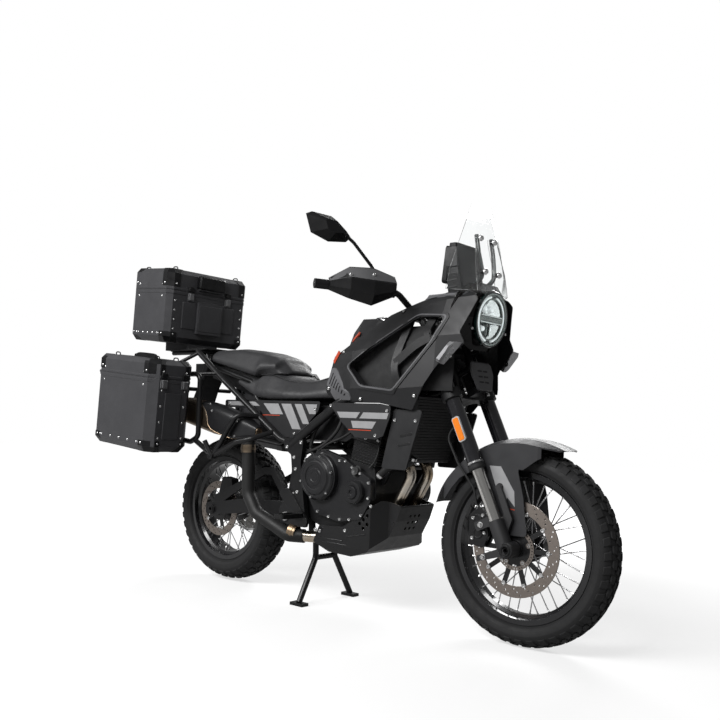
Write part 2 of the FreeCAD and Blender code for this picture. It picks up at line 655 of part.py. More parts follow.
def front_brake_hose():
    """Hose from the right lever's side down behind the fork to the caliper."""
    foot = FRONT_AXLE + V(-146, -82, 121.5)
    return bent_tube([foot, foot + V(-14, -2, 66), V(520, -92, 600), V(462, -88, 700), steer(-70, 20, -56),
                      steer(-FREE_GAP, 24, -54)], 4, 60)


# ---------------------------------------------------------------- frame, swingarm and stands
FRAME_Y = 165.0
BEAM_R = 19.0
PLATE_T = 22.0
PIVOT = V(-232, 0, 345)        # swingarm pivot
PIVOT_R = 11.0
STAND_PIVOT = V(-178, 0, 262)
STAND_TUBE = V(-187, 0, 346)   # cross tube between the chain's runs
ENGINE_HALF = 140.0


DOWN_TUBE_END = V(236, 136, 566)


def beam_paths():
    """Centre lines of the main beams and the down tubes, left side."""
    upper = [steer(140, -18, 0), V(320, 112, 872), V(40, FRAME_Y, 806), V(-225, FRAME_Y, 628)]
    lower = [V(311, 114, 868), V(264, 132, 700), DOWN_TUBE_END]
    return upper, lower


def frame_beams(extra=0.0):
    upper, lower = beam_paths()
    tubes = [bent_tube(upper, BEAM_R + extra, 90), bent_tube(lower, BEAM_R - 3 + extra, 70)]
    return tubes + [mirrored(t) for t in tubes]


@functools.cache
def main_frame():
    """Twin-spar tubular frame: head tube, beams, down tubes, pivot plates and their cross tubes."""
    head = rod(steer(CROWN_LOW_T + 3), steer(CROWN_TOP_S - 3), HEAD_TUBE_R)
    plate_out = [(-256, 652), (-196, 660), (-148, 655), (-160, 560), (-140, 437), (-124, 348), (-122, 320),
                 (-200, 312),
                 (-262, 322), (-270, 372), (-222, 440), (-206, 528), (-214, 590), (-254, 612)]
    plate = slab_xz(plate_out, FRAME_Y - PLATE_T / 2, FRAME_Y + PLATE_T / 2, 14)
    parts = frame_beams() + [head, plate, mirrored(plate)]
    half = FRAME_Y - PLATE_T / 2 + 2
    for x, z, r in ((-228, 622, 15), (-193, 484, 12)):
        parts.append(rod(V(x, -half, z), V(x, half, z), r))
    ear = slab_xz([(STAND_TUBE.x - 12, STAND_TUBE.z), (STAND_TUBE.x + 12, STAND_TUBE.z),
                   (STAND_PIVOT.x + 15, STAND_PIVOT.z + 10), (STAND_PIVOT.x + 15, STAND_PIVOT.z - 15),
                   (STAND_PIVOT.x - 15, STAND_PIVOT.z - 15), (STAND_PIVOT.x - 18, STAND_PIVOT.z + 10)],
                  STAND_LEG_Y + 13.5, STAND_LEG_Y + 24.5, 6)
    parts += [ear, mirrored(ear)]
    parts.append(rod(STAND_TUBE - V(0, half, 0), STAND_TUBE + V(0, half, 0), 12))
    boss = rod(V(-172, ENGINE_HALF + SLIDE_GAP, 446), V(-172, half, 446), 12)
    parts += [boss, mirrored(boss)]
    pin = rod(V(STAND_PIVOT.x, -STAND_LEG_Y - 28, STAND_PIVOT.z),
              V(STAND_PIVOT.x, STAND_LEG_Y + 28, STAND_PIVOT.z),
              STAND_PIN_R)
    pivot = rod(V(PIVOT.x, -FRAME_Y - 13, PIVOT.z), V(PIVOT.x, FRAME_Y + 13, PIVOT.z), PIVOT_R)
    front = rod(V(DOWN_TUBE_END.x, -DOWN_TUBE_END.y, DOWN_TUBE_END.z), DOWN_TUBE_END, 11)
    mount = slab_xz([(170, 500), (DOWN_TUBE_END.x - 30, 500), (DOWN_TUBE_END.x, 550), (DOWN_TUBE_END.x, 576),
                     (170, 540)], 96, 108, 6).cut(engine())
    cowl_stay = rod(V(316, 116, 862), V(330, 194, 838), 7)
    rad_up = V(RAD_TOP - RAD_LOW).normalize()
    rad_ahead = V(rad_up.z, 0, -rad_up.x)
    parts += [pin, pivot, front, mount, mirrored(mount), cowl_stay, mirrored(cowl_stay)]
    for z in (700, 650):
        root = V(264 - (700 - z) * 0.2, 151, z)
        reach = (RAD_LOW - root).dot(rad_ahead) - RAD_T - FREE_GAP
        lug = rod(root, root + rad_ahead * reach, 7)
        parts += [lug, mirrored(lug)]
    frame = fused(parts)
    return frame.cut(rod(steer(0), steer(CROWN_TOP_S), STEM_R + BEARING_GAP))


@functools.cache
def swingarm():
    """Braced arm: pivot tube, two legs round the tyre, axle plates, and the rear axle with its spacers."""
    arm_y = 128.0
    boss = rod(V(PIVOT.x, -153.7, PIVOT.z), V(PIVOT.x, 153.7, PIVOT.z), 20)
    parts = [boss]
    for side in (1, -1):
        leg = slab_xz([(PIVOT.x + 6, 322), (PIVOT.x - 60, 318), (-534, 326), (REAR_AXLE.x + 30, 300),
                       (REAR_AXLE.x - 44, 296), (REAR_AXLE.x - 44, 348), (-716, 356), (-574, 380),
                       (PIVOT.x - 70, 396),
                       (PIVOT.x + 6, 372)],
                      min(side * arm_y, side * (arm_y - 22)), max(side * arm_y, side * (arm_y - 22)), 12)
        brace = slab_xz([(-734, 350), (-734, 384), (-572, 456), (-420, 526), (-362, 530), (PIVOT.x - 22, 386),
                         (PIVOT.x - 44, 374), (-378, 498), (-416, 496), (-570, 424), (-690, 352)],
                        min(side * (arm_y - 3), side * (arm_y - 19)),
                        max(side * (arm_y - 3), side * (arm_y - 19)), 8)
        parts += [leg, brace]
    parts.append(box(PIVOT.x - 96, PIVOT.x - 50, -arm_y + 2, arm_y - 2, 334, 372))
    parts.append(rod(V(REAR_AXLE.x, -arm_y - 12, REAR_AXLE.z), V(REAR_AXLE.x, arm_y + 12, REAR_AXLE.z),
                     AXLE_R))
    for side in (1, -1):
        parts.append(rod(V(REAR_AXLE.x, side * (REAR_HUB_END + FREE_GAP), REAR_AXLE.z),
                         V(REAR_AXLE.x, side * (arm_y + 8), REAR_AXLE.z), 19))
    arm = fused(parts)
    arm = arm.cut(rod(V(PIVOT.x, -200, PIVOT.z), V(PIVOT.x, 200, PIVOT.z), PIVOT_R + SLIDE_GAP))
    return arm.cut(rod(V(REAR_AXLE.x, -200, REAR_AXLE.z), V(REAR_AXLE.x, 200, REAR_AXLE.z), AXLE_BORE_R))


def rear_caliper():
    centre = REAR_AXLE + V(58, 0, 100)
    outline = [(centre.x + a, centre.z + b) for a, b in ((-46, -34), (10, -46), (46, -10), (38, 36),
                                                         (-20, 44))]
    bracket = slab_xz([(centre.x - 18, REAR_AXLE.z - 6), (centre.x + 26, REAR_AXLE.z - 6),
                       (centre.x + 30, centre.z),
                       (centre.x - 30, centre.z)], -105.7, -99, 8)
    block = fused([slab_xz(outline, -105.7, -66, 10), bracket])
    slot = spun(REAR_AXLE, [(REAR_DISC_Y - 6, 60), (REAR_DISC_Y - 6, REAR_DISC_R + 6),
                            (REAR_DISC_Y + 6, REAR_DISC_R + 6), (REAR_DISC_Y + 6, 60)])
    return block.cut(slot).cut(swingarm())


SPRING_R = 34.0
COIL_ROOT_R = 23.5            # the damper between the spring's coils


def shock():
    """Single rear spring and damper between the swingarm and the frame."""
    low = V(-305, 0, 372.3)
    high = V(-252, 0, 606)
    up = V(high - low).normalize()
    out = V(up.z, 0, -up.x)
    length = (high - low).Length

    def at(s, r):
        return low + up * s + out * r

    outline = [at(0, 0), at(0, 9), at(24, 9), at(24, SPRING_R), at(34, SPRING_R), at(34, COIL_ROOT_R)]
    edges = []
    for i in range(6):
        middle = 44 + 25 * i
        start, crest, stop = at(middle - 7, COIL_ROOT_R), at(middle, SPRING_R), at(middle + 7, COIL_ROOT_R)
        edges += [Part.makePolygon(outline + [start]), Part.Arc(start, crest, stop).toShape()]
        outline = [stop]
    outline += [at(186, COIL_ROOT_R), at(186, SPRING_R), at(196, SPRING_R), at(196, 9), at(length, 9),
                at(length, 0), at(0, 0)]
    edges.append(Part.makePolygon(outline))
    profile = Part.Wire([edge for part in edges for edge in part.Edges])
    unit = Part.Face(profile).revolve(low, up, 360)
    return unit.cut(main_frame()).cut(swingarm())


STAND_LEG_Y = 54.0
STAND_FOOT_Y = 150.0
STAND_PIN_R = 9.0


def centre_stand():
    """Two legs on one pivot with a cross bar, flat feet and a foot lever on the left."""
    parts = []
    for side in (1, -1):
        y = side * STAND_LEG_Y
        foot = V(STAND_PIVOT.x + 14, side * STAND_FOOT_Y, 0)
        boss = rod(V(STAND_PIVOT.x, y - 13, STAND_PIVOT.z), V(STAND_PIVOT.x, y + 13, STAND_PIVOT.z), 17)
        leg = bent_tube([V(STAND_PIVOT.x, y, STAND_PIVOT.z), V(STAND_PIVOT.x + 4, y, 180),
                         V(foot.x, foot.y, 12)], 12, 60)
        pad = box(foot.x - 34, foot.x + 34, foot.y - 18, foot.y + 18, 0, 12)
        parts += [boss, leg, pad]
    cross = STAND_PIVOT + V(4, 0, -84)
    parts.append(rod(V(cross.x, -STAND_LEG_Y, cross.z), V(cross.x, STAND_LEG_Y, cross.z), 11))
    stand = fused(parts)
    return stand.cut(rod(V(STAND_PIVOT.x, -300, STAND_PIVOT.z), V(STAND_PIVOT.x, 300, STAND_PIVOT.z),
                         STAND_PIN_R + BEARING_GAP))


SIDE_STAND_PIVOT = V(-62, 196, 298)
SIDE_STAND_FOLDED = V(-1, 0.08, 0.04).normalize()
SIDE_STAND_AXIS = V(-0.089, -0.911, -0.403).normalize()
SIDE_STAND_LENGTH = 250.0


def side_stand():
    """Folded leg along the left side, on a slanted pin in the frame's bracket, with a flat shoe."""
    pivot, n, f = SIDE_STAND_PIVOT, SIDE_STAND_AXIS, SIDE_STAND_FOLDED
    boss = rod(pivot - n * 11, pivot + n * 11, 19)
    leg = rod(pivot + f * 8, pivot + f * SIDE_STAND_LENGTH, 10)
    end = pivot + f * SIDE_STAND_LENGTH
    low = V(n.cross(f)).normalize()
    shoe = Part.Face(rounded([end - low * 22 - n * 24, end + low * 34 - n * 24, end + low * 34 + n * 24,
                              end - low * 22 + n * 24], 10)).extrude(f * 8)
    return fused([boss, leg, shoe]).cut(rod(pivot - n * 40, pivot + n * 40, 8 + BEARING_GAP))


def side_stand_bracket():
    """Tab below the left pivot plate with the side stand's lug and pin."""
    pivot, n = SIDE_STAND_PIVOT, SIDE_STAND_AXIS
    inner = pivot + n * (11 + FREE_GAP)
    tab = slab_xz([(-168, 352), (-120, 366), (-28, 318), (-34, 284), (-72, 272), (-150, 314)], SKID_HALF + 3,
                  FRAME_Y + 8, 8)
    lug = rod(inner, inner + n * 22, 15)
    pin = rod(pivot - n * 16, inner + n * 4, 8)
    head = rod(pivot - n * 18, pivot - n * (11 + FREE_GAP), 12)
    return fused([tab, lug, pin, head])


# ---------------------------------------------------------------- engine and exhaust
CYL_LEAN = 12.0
CLUTCH = V(-58, 0, 514)
CRANK = V(122, 0, 470)
AIR_BOX_HALF = 116.0


@functools.cache
def engine():
    """Crankcase, cylinders and head of a parallel twin with the air box behind it, as one heavy block."""
    case = slab_xz([(-196, 420), (-150, 560), (-60, 600), (60, 590), (188, 564), (200, 470), (172, 380),
                    (104, 322),
                    (-60, 316), (-150, 352)], -ENGINE_HALF, ENGINE_HALF, 24)
    chain_space = box(-220, -80, SPROCKET_Y - 14, SPROCKET_Y + 14, 312, 424)
    tilt = math.radians(CYL_LEAN)
    up, ahead = V(math.sin(tilt), 0, math.cos(tilt)), V(math.cos(tilt), 0, -math.sin(tilt))
    base = V(112, 0, 560)

    def block(s0, s1, a0, a1, half):
        corners = [base + up * s0 + ahead * a0, base + up * s0 + ahead * a1, base + up * s1 + ahead * a1,
                   base + up * s1 + ahead * a0]
        face = Part.Face(rounded([c + V(0, -half, 0) for c in corners], 8))
        return face.extrude(V(0, 2 * half, 0))

    barrel = block(-20, 96, -60, 62, 124)
    head = block(96, 172, -72, 72, 134)
    cover = block(172, 206, -60, 60, 126)
    air_box = slab_xz([(-160, 652), (-164, 784), (36, 790), (78, 744), (74, 680), (20, 652)], -AIR_BOX_HALF,
                      AIR_BOX_HALF, 10)
    return fused([case.cut(chain_space), barrel, head, cover, air_box])


def exhaust_ports():
    """Stub flanges on the front of the head where the header pipes start."""
    tilt = math.radians(CYL_LEAN)
    up, ahead = V(math.sin(tilt), 0, math.cos(tilt)), V(math.cos(tilt), 0, -math.sin(tilt))
    base = V(112, 0, 560)
    return [(base + up * 126 + ahead * 72 + V(0, y, 0), ahead) for y in (HEADER_Y, -HEADER_Y)]


def cover(centre, side, rows):
    """A round crankcase cover on one side: rows of (distance out from the engine wall, radius)."""
    profile = [(side * (ENGINE_HALF + out), r) for out, r in rows]
    profile = [(side * ENGINE_HALF, 0)] + profile + [(side * (ENGINE_HALF + rows[-1][0]), 0)]
    points = [V(centre.x, y, centre.z + r) for y, r in profile]
    face = Part.Face(Part.makePolygon(points + [points[0]]))
    return face.revolve(centre, V(0, 1, 0), 360)


def engine_covers():
    """Clutch cover and crankshaft cover on the right, alternator cover on the left."""
    base = slab_xz([(-150, 520), (-120, 594), (-50, 618), (60, 590), (110, 560), (192, 520), (192, 440),
                    (150, 372),
                    (40, 352), (-80, 372), (-128, 440)], -ENGINE_HALF - 24, -ENGINE_HALF, 22)
    clutch = cover(CLUTCH, -1, [(0, 92), (44, 90), (60, 68), (64, 64), (64, 50), (61, 48)])
    crank = cover(CRANK, -1, [(0, 46), (40, 44), (48, 38), (48, 26), (45, 24)])
    right = fused([base, clutch, crank])
    left_base = slab_xz([(-20, 470), (20, 560), (110, 590), (206, 540), (214, 440), (150, 372), (50, 372)],
                        ENGINE_HALF, ENGINE_HALF + 22, 22)
    alternator = cover(CRANK, 1, [(0, 82), (50, 82), (62, 72)])
    sprocket_cover = slab_xz([(-150, 400), (-140, 500), (-60, 520), (-30, 460), (-50, 380), (-110, 366)],
                             ENGINE_HALF, ENGINE_HALF + 11, 20)
    left = fused([left_base, alternator]).cut(sprocket_cover)
    guard_room = slab_xz(_scaled(SKID_LINE, 6), -SKID_HALF - 3, SKID_HALF + 3)
    return Part.makeCompound([right.cut(guard_room), left.cut(guard_room), sprocket_cover])


HEADER_Y = 52.0
HEADER_R = 20.0
MID_PIPE_R = 27.0
COLLECTOR_END = V(-150, -148, 274)


def exhaust_headers():
    """Two header pipes that drop in front of the crankcase and join under it."""
    pipes = []
    for (port, ahead), y in zip(exhaust_ports(), (1, -1)):
        start = port + ahead * FREE_GAP
        bend_top = start + ahead * 30
        pipes.append(bent_tube([start, bend_top, V(250, port.y, 612), V(297, port.y, 546),
                                V(216, port.y, 404),
                                V(166, -60 + 24 * y, 276), V(60, -80 + 20 * y, 270)], HEADER_R, 50))
    collector = lofted([Part.Wire([Part.makeCircle(38, V(70, -80, 272), V(1, 0, 0))]),
                        Part.Wire([Part.makeCircle(24, V(-40, -108, 275), V(1, 0, 0))])])
    tail = bent_tube([V(-39, -108, 275), V(-80, -122, 275), COLLECTOR_END], 22, 60)
    flange = []
    for port, ahead in exhaust_ports():
        flange.append(rod(port + ahead * FREE_GAP, port + ahead * 12, 30))
    return fused(pipes + flange + [collector, tail])


MUFFLER_FRONT = V(-384, -194, 668)
MUFFLER_AXIS = V(-0.982, -0.02, 0.19)


def exhaust_pipe():
    """Large mid pipe from the collector, up behind the pivot plate and into the silencer's belly."""
    reach = V(COLLECTOR_END - V(-80, -122, 275)).normalize()
    start = COLLECTOR_END + reach * FREE_GAP
    pipe = bent_tube([start, start + reach * 70, V(-384, -194, 346), V(-436, -194, 420), V(-446, -194, 662)],
                     MID_PIPE_R, 60)
    return pipe.cut(muffler())


@functools.cache
def muffler():
    """Silencer with flattened sides, a cone at the front and a recessed end cap."""
    axis = V(MUFFLER_AXIS).normalize()
    side = V(0, 1, 0)
    side = V(side - axis * side.dot(axis)).normalize()
    up = axis.cross(side).normalize()
    if up.z < 0:
        up = up * -1

    def ring(d, half_w, half_h, r):
        c = MUFFLER_FRONT + axis * d
        return rounded([c + side * half_w + up * half_h, c - side * half_w + up * half_h,
                        c - side * half_w - up * half_h, c + side * half_w - up * half_h], r)

    shell = lofted([ring(0, 16, 18, 10), ring(60, 34, 36, 24), ring(130, 42, 52, 28), ring(240, 47, 60, 28),
                    ring(450, 47, 54, 28)])
    cap = lofted([ring(450, 47, 54, 28), ring(468, 40, 46, 24)])
    outlet = rod(MUFFLER_FRONT + axis * 390, MUFFLER_FRONT + axis * 500, 20)
    return fused([shell, cap]).cut(outlet)


SKID_HALF = 160.0
SKID_NOSE_HALF = 102.0
SKID_T = 4.0
# x and z of the guard's side view, and of the room inside it
SKID_LINE = [(-92, 262), (-62, 328), (60, 334), (186, 414), (216, 444), (288, 430), (268, 372), (236, 312),
             (180, 254),
             (92, 226), (-20, 230)]
SKID_ROOM = [(-120, 268), (-120, 500), (340, 500), (288, 444), (263, 373), (232, 315), (178, 258),
             (91, 230), (-18, 234)]
SKID_HOLES = [(160, 372), (178, 356), (142, 356), (160, 340), (178, 388)]


def skid_plate():
    """Folded and pressed sump guard: raised sides, sloping lower edges and a narrower front."""
    def tub(line, inset):
        half = SKID_HALF - inset
        wall = slab_xz(line, -half, half, 8)
        plan = [(-140, half), (192, half), (234, SKID_NOSE_HALF - inset), (340, SKID_NOSE_HALF - inset)]
        above = slab_xy(plan + [(x, -y) for x, y in reversed(plan)], 200, 520)
        across = [(half, 262), (half - 26, 200), (26 - half, 200), (-half, 262), (-half, 520), (half, 520)]
        return wall.common(above).common(slab_yz(across, -140, 360))

    shell = tub(SKID_LINE, 0).cut(tub(SKID_ROOM, SKID_T))
    drills = []
    for x, z in SKID_HOLES:
        drills.append(rod(V(x, -170, z), V(x, 170, z), 7))
    for y in (-26, 0, 26):
        for z in (340, 364, 388):
            drills.append(rod(V(200, y, z), V(330, y, z), 6))
    return shell.cut(Part.makeCompound(drills))


# ---------------------------------------------------------------- radiator
RAD_TOP = V(384, 0, 826)
RAD_LOW = V(318, 0, 586)
RAD_HALF = 166.0
RAD_T = 28.0


def radiator():
    """Slanted core with a tank at each side and a fan housing behind it."""
    up = V(RAD_TOP - RAD_LOW).normalize()
    ahead = V(up.z, 0, -up.x)

    def panel(half, s0, s1, a0, a1, r):
        corners = [RAD_LOW + up * s + ahead * a for s, a in ((s0, a0), (s0, a1), (s1, a1), (s1, a0))]
        return Part.Face(rounded([c + V(0, -half, 0) for c in corners], r)).extrude(V(0, 2 * half, 0))

    length = (RAD_TOP - RAD_LOW).Length
    core = panel(RAD_HALF - 22, 0, length, -RAD_T + 4, -4, 2)
    whole = panel(RAD_HALF, 8, length - 8, -RAD_T, 0, 6)
    middle = panel(RAD_HALF - 24, -20, length + 20, -RAD_T - 5, 5, 1)
    return fused([core, whole.cut(middle)])


def radiator_guards():
    """Flat side plates beside the radiator."""
    outline = [(296, 778), (420, 778), (356, 566), (246, 566)]
    plate = slab_xz(outline, RAD_HALF + FREE_GAP, RAD_HALF + 8, 10)
    return both(plate)


# ---------------------------------------------------------------- tank, cowls and front bodywork
def tube_clearance():
    """Room that the bodywork leaves round the frame tubes and the head tube."""
    head = rod(steer(CROWN_LOW_T - 6), steer(CROWN_TOP_S + 2), HEAD_TUBE_R + 4)
    return Part.makeCompound(frame_beams(FREE_GAP) + [head])


def fuel_tank():
    """Tank with a raised, faceted top, wide shoulders and a flat base over the frame tubes."""
    # columns: x, half width low, half width at the shoulder, half width of the top, z low, z shoulder, z top
    rows = [(-72, 60, 84, 52, 812, 900, 946), (10, 88, 136, 78, 812, 950, 1074),
            (60, 92, 154, 88, 812, 980, 1119),
            (140, 92, 158, 92, 812, 990, 1117), (220, 86, 146, 78, 826, 980, 1080),
            (286, 60, 84, 52, 860, 960, 1036)]
    sections = []
    for x, low_w, mid_w, top_w, z_low, z_mid, z_top in rows:
        sections.append(ring_yz(x, [(low_w, z_low), (mid_w, z_low + 46), (mid_w, z_mid), (top_w, z_top)], 12))
    body = lofted(sections)
    cap = rod(V(98, 0, 1100), V(98, 0, 1127), 38)
    return fused([body, cap]).cut(tube_clearance())


COWL_T = 4.0
COWL_REVEAL = 26.0            # depth of the walls round the cowl's window


def cowl_skin(offset=0.0):
    """Faceted outer surface of the left cowl, as a closed wedge from y = 60 outward."""
    # columns: x, then (y, z) of the skin from the bottom edge to the top edge
    rows = [(-45, [(150, 790), (184, 850), (182, 960), (128, 1060), (108, 1084)]),
            (110, [(168, 770), (206, 850), (202, 985), (142, 1085), (122, 1112)]),
            (330, [(178, 750), (216, 850), (206, 1010), (150, 1130), (124, 1166)]),
            (480, [(172, 740), (206, 860), (194, 1030), (140, 1160), (104, 1194)]),
            (600, [(140, 740), (160, 860), (146, 1040), (106, 1174), (84, 1202)])]
    wires = []
    for x, pts in rows:
        ring = [V(x, y - offset, z) for y, z in pts]
        ring = [V(x, ring[0].y, 700)] + ring + [V(x, ring[-1].y, 1260), V(x, 40, 1260), V(x, 40, 700)]
        wires.append(Part.makePolygon(ring + [ring[0]]))
    return Part.makeLoft(wires, True, True)


COWL_OUTLINE = [(-36, 826), (14, 968), (240, 1118), (330, 1148), (401, 1174), (463, 1190), (536, 1194),
                (572, 1180),
                (588, 1158), (552, 1046), (572, 1006), (494, 936), (384, 776), (240, 799), (108, 799)]
COWL_WINDOW = [(376, 1104), (494, 1098), (462, 1016), (318, 850), (166, 862), (94, 934)]


@functools.cache
def side_cowls():
    """Tank cowl each side: a moulded panel with a large framed window."""
    skin = cowl_skin().cut(cowl_skin(COWL_T))
    panel = slab_xz(COWL_OUTLINE, 60, 260, 12).common(skin)
    frame = cowl_skin(-3.0).cut(cowl_skin(COWL_T + 10))
    wide = slab_xz(_scaled(COWL_WINDOW, 22), 60, 260, 18)
    hole = slab_xz(COWL_WINDOW, 50, 270, 16)
    window_frame = wide.common(frame)
    reveal = slab_xz(_scaled(COWL_WINDOW, 6), 60, 260, 18).common(cowl_skin().cut(cowl_skin(COWL_REVEAL)))
    shape = panel.fuse(window_frame).fuse(reveal).cut(hole).cut(Part.makeCompound(frame_beams(FREE_GAP)))
    return both(max(shape.Solids, key=lambda s: s.Volume))


def _scaled(points, grow):
    """The outline moved outward from its centre by about grow."""
    cx = sum(p[0] for p in points) / len(points)
    cz = sum(p[1] for p in points) / len(points)
    out = []
    for x, z in points:
        reach = math.hypot(x - cx, z - cz)
        out.append((x + (x - cx) / reach * grow, z + (z - cz) / reach * grow))
    return out


LAMP_C = V(574, 0, 1101)
LAMP_R = 97.5
LAMP_PITCH = 7.0
LAMP_AXIS = V(math.cos(math.radians(LAMP_PITCH)), 0, -math.sin(math.radians(LAMP_PITCH)))


def headlamp():
    """Round lamp: bucket, bezel ring and lens in one sealed unit."""
    bucket = Part.makeCone(70, LAMP_R - 6, 56, LAMP_C - LAMP_AXIS * 62, LAMP_AXIS)
    bezel = rod(LAMP_C - LAMP_AXIS * 8, LAMP_C + LAMP_AXIS * 4, LAMP_R)
    recess = rod(LAMP_C - LAMP_AXIS * 1, LAMP_C + LAMP_AXIS * 10, LAMP_R - 9)
    lens = rod(LAMP_C - LAMP_AXIS * 1.5, LAMP_C + LAMP_AXIS * 2, LAMP_R - 12)
    return fused([bucket, bezel]).cut(recess).fuse(lens).removeSplitter()


def nose_fairing():
    """Panel round the headlamp, between the cowls, with the beak cover below it."""
    # columns: z, x of the face, half width, how far the sides wrap back
    rows = [(994, 531, 60, 6), (1018, 535, 98, 18), (1062, 547, 142, 58), (1100, 560, 158, 64),
            (1185, 572, 126, 52),
            (1222, 560, 78, 34)]
    wires = []
    for z, x, half, wrap in rows:
        wires.append(Part.makePolygon([V(x, -half * 0.6, z), V(x, half * 0.6, z), V(x - wrap, half, z),
                                       V(x - wrap - 6, half, z), V(x - 8, half * 0.58, z),
                                       V(x - 8, -half * 0.58, z),
                                       V(x - wrap - 6, -half, z), V(x - wrap, -half, z),
                                       V(x, -half * 0.6, z)]))
    shell = Part.makeLoft(wires, True, True)
    bore = fused([rod(LAMP_C - LAMP_AXIS * 8.3, LAMP_C + LAMP_AXIS * 60, LAMP_R + FREE_GAP),
                  Part.makeCone(70 + FREE_GAP, LAMP_R - 6 + FREE_GAP, 56, LAMP_C - LAMP_AXIS * 62,
                                LAMP_AXIS)])
    shell = shell.cut(bore).cut(side_cowls()).cut(windscreen())
    return max(shell.Solids, key=lambda s: s.Volume)


@functools.cache
def windscreen():
    """Tall clear screen, bowed across, wide at the cowls and narrow on top, cut out over the lamp's rim."""
    # columns: z, x at the centre line, half width, how far the sides sweep back
    rows = [(1190, 588, 176, 90), (1270, 570, 170, 58), (1365, 546, 130, 29), (1440, 533, 94, 15),
            (1506, 520, 56, 4)]
    wires = []
    for z, x, half, sweep in rows:
        out = [V(x - sweep, half, z), V(x - sweep * 0.14, half * 0.55, z), V(x, 0, z)]
        ring = out + [V(p.x, -p.y, p.z) for p in out[1::-1]]
        inner = [V(p.x - 3, p.y * 0.985, p.z) for p in ring]
        wires.append(Part.makePolygon(ring + inner[::-1] + [ring[0]]))
    screen = Part.makeLoft(wires, True, True)
    return screen.cut(rod(LAMP_C - LAMP_AXIS * 12, LAMP_C + LAMP_AXIS * 16, LAMP_R + 3))


def dash_tower():
    """Instrument mast behind the screen: frame bracket, screen arms and the display's housing."""
    tower = lofted([ring_yz_at(V(470, 0, 1160), 70, 34), ring_yz_at(V(452, 0, 1260), 76, 30),
                    ring_yz_at(V(440, 0, 1372), 64, 16)])
    arms = []
    for y in (46, -46):
        arms.append(bent_tube([V(470, y * 0.7, 1190), V(552, y * 0.8, 1240), V(538, y, 1330),
                               V(526, y, 1392)], 7, 30))
        for z, reach in ((1380, 18), (1262, 22)):
            x = 528 if z > 1300 else 548
            arms.append(rod(V(x, y * 0.95, z), V(x + reach, y * 0.95, z), 8))
    stay = bent_tube([steer(106, HEAD_TUBE_R - 6), steer(106, 84), steer(236, 84), V(470, 0, 1168)], 12, 24)
    whole = fused([tower, stay] + arms).cut(main_frame()).cut(windscreen())
    return max(whole.Solids, key=lambda s: s.Volume)


def ring_yz_at(centre, half_w, half_d):
    return rounded([centre + V(half_d, half_w, 0), centre + V(half_d, -half_w, 0),
                    centre + V(-half_d, -half_w, 0),
                    centre + V(-half_d, half_w, 0)], 10)


def front_turn_signals():
    """Leaf-shaped signal on the cowl's front edge."""
    # rows: y, then the outline's upper tip, upper back, lower tip and lower front corners in x and z
    rows = [(164, (566, 1006), (546, 1010), (488, 940), (512, 930)),
            (208, (564, 1003), (546, 1007), (492, 944), (512, 934)),
            (222, (553, 990), (543, 994), (504, 952), (516, 944))]
    leaf = lofted([Part.makePolygon([V(x, y, z) for x, z in corners + corners[:1]]) for y, *corners in rows])
    return both(leaf.cut(cowl_skin(-FREE_GAP)))


# ---------------------------------------------------------------- seat, side panels and tail
def rider_seat():
    """Low front saddle that dips behind the tank; its tail runs under the step, round the frame tubes."""
    # columns: x, half width low, half width top, z low, z top
    rows = [(-628, 116, 104, 874, 921), (-504, 132, 116, 820, 895), (-474, 140, 108, 812, 922),
            (-400, 146, 112, 806, 922), (-300, 150, 104, 806, 896), (-200, 130, 84, 806, 890),
            (-100, 96, 56, 812, 920), (-72.4, 84, 50, 812, 932)]
    seat = lofted([ring_yz(x, [(low, z0), (low, z0 + 0.3 * (z1 - z0)), (top, z1 - 0.11 * (z1 - z0)),
                               (top * 0.5, z1)],
                           10) for x, low, top, z0, z1 in rows])
    seat = seat.cut(Part.makeCompound(seat_tubes(FREE_GAP)))
    return max(seat.Solids, key=lambda s: s.Volume)


def passenger_seat():
    """Raised rear cushion behind the step."""
    rows = [(-822, 104, 80, 968, 1028), (-640, 118, 90, 930, 1028), (-500, 130, 96, 900, 1010),
            (-478, 130, 94, 926, 1004), (-392, 112, 72, 930, 980)]
    return lofted([ring_yz(x, [(low, z0), (low, z0 + 26), (top, z1 - 8), (top * 0.5, z1)], 10)
                   for x, low, top, z0, z1 in rows])


SIDE_PANEL_Y = 139.2


def side_panels():
    """Flat panel under the seat, and the panel under the tank ahead of the frame beam."""
    rear = slab_xz([(-660, 802), (-94, 802), (-104, 765), (-222, 656), (-326, 656), (-440, 764), (-660, 772)],
                   SIDE_PANEL_Y, SIDE_PANEL_Y + 6, 10)
    front = slab_xz([(-8, 797), (240, 797), (292, 789), (290, 752), (262, 682), (226, 668), (130, 672),
                     (60, 726)],
                    FRAME_Y + BEAM_R + FREE_GAP, FRAME_Y + BEAM_R + 6, 10)
    rear = rear.cut(subframe())
    return Part.makeCompound([rear, mirrored(rear), front, mirrored(front)])


SUB_R = 12.5
SUB_Y = 158.0


LOW_TUBE_R = 11.0
LOW_TUBE_Y = 112.0
RACK_Z = 1032.0               # top face of the top case's plate


def subframe_paths():
    """Centre line of the left rising tube, from the frame's plate to the top case's plate."""
    return [V(-228, SUB_Y, 632), V(-298, SUB_Y, 650), V(-650, SUB_Y + 6, 882), V(-860, SUB_Y - 12, 1014)]


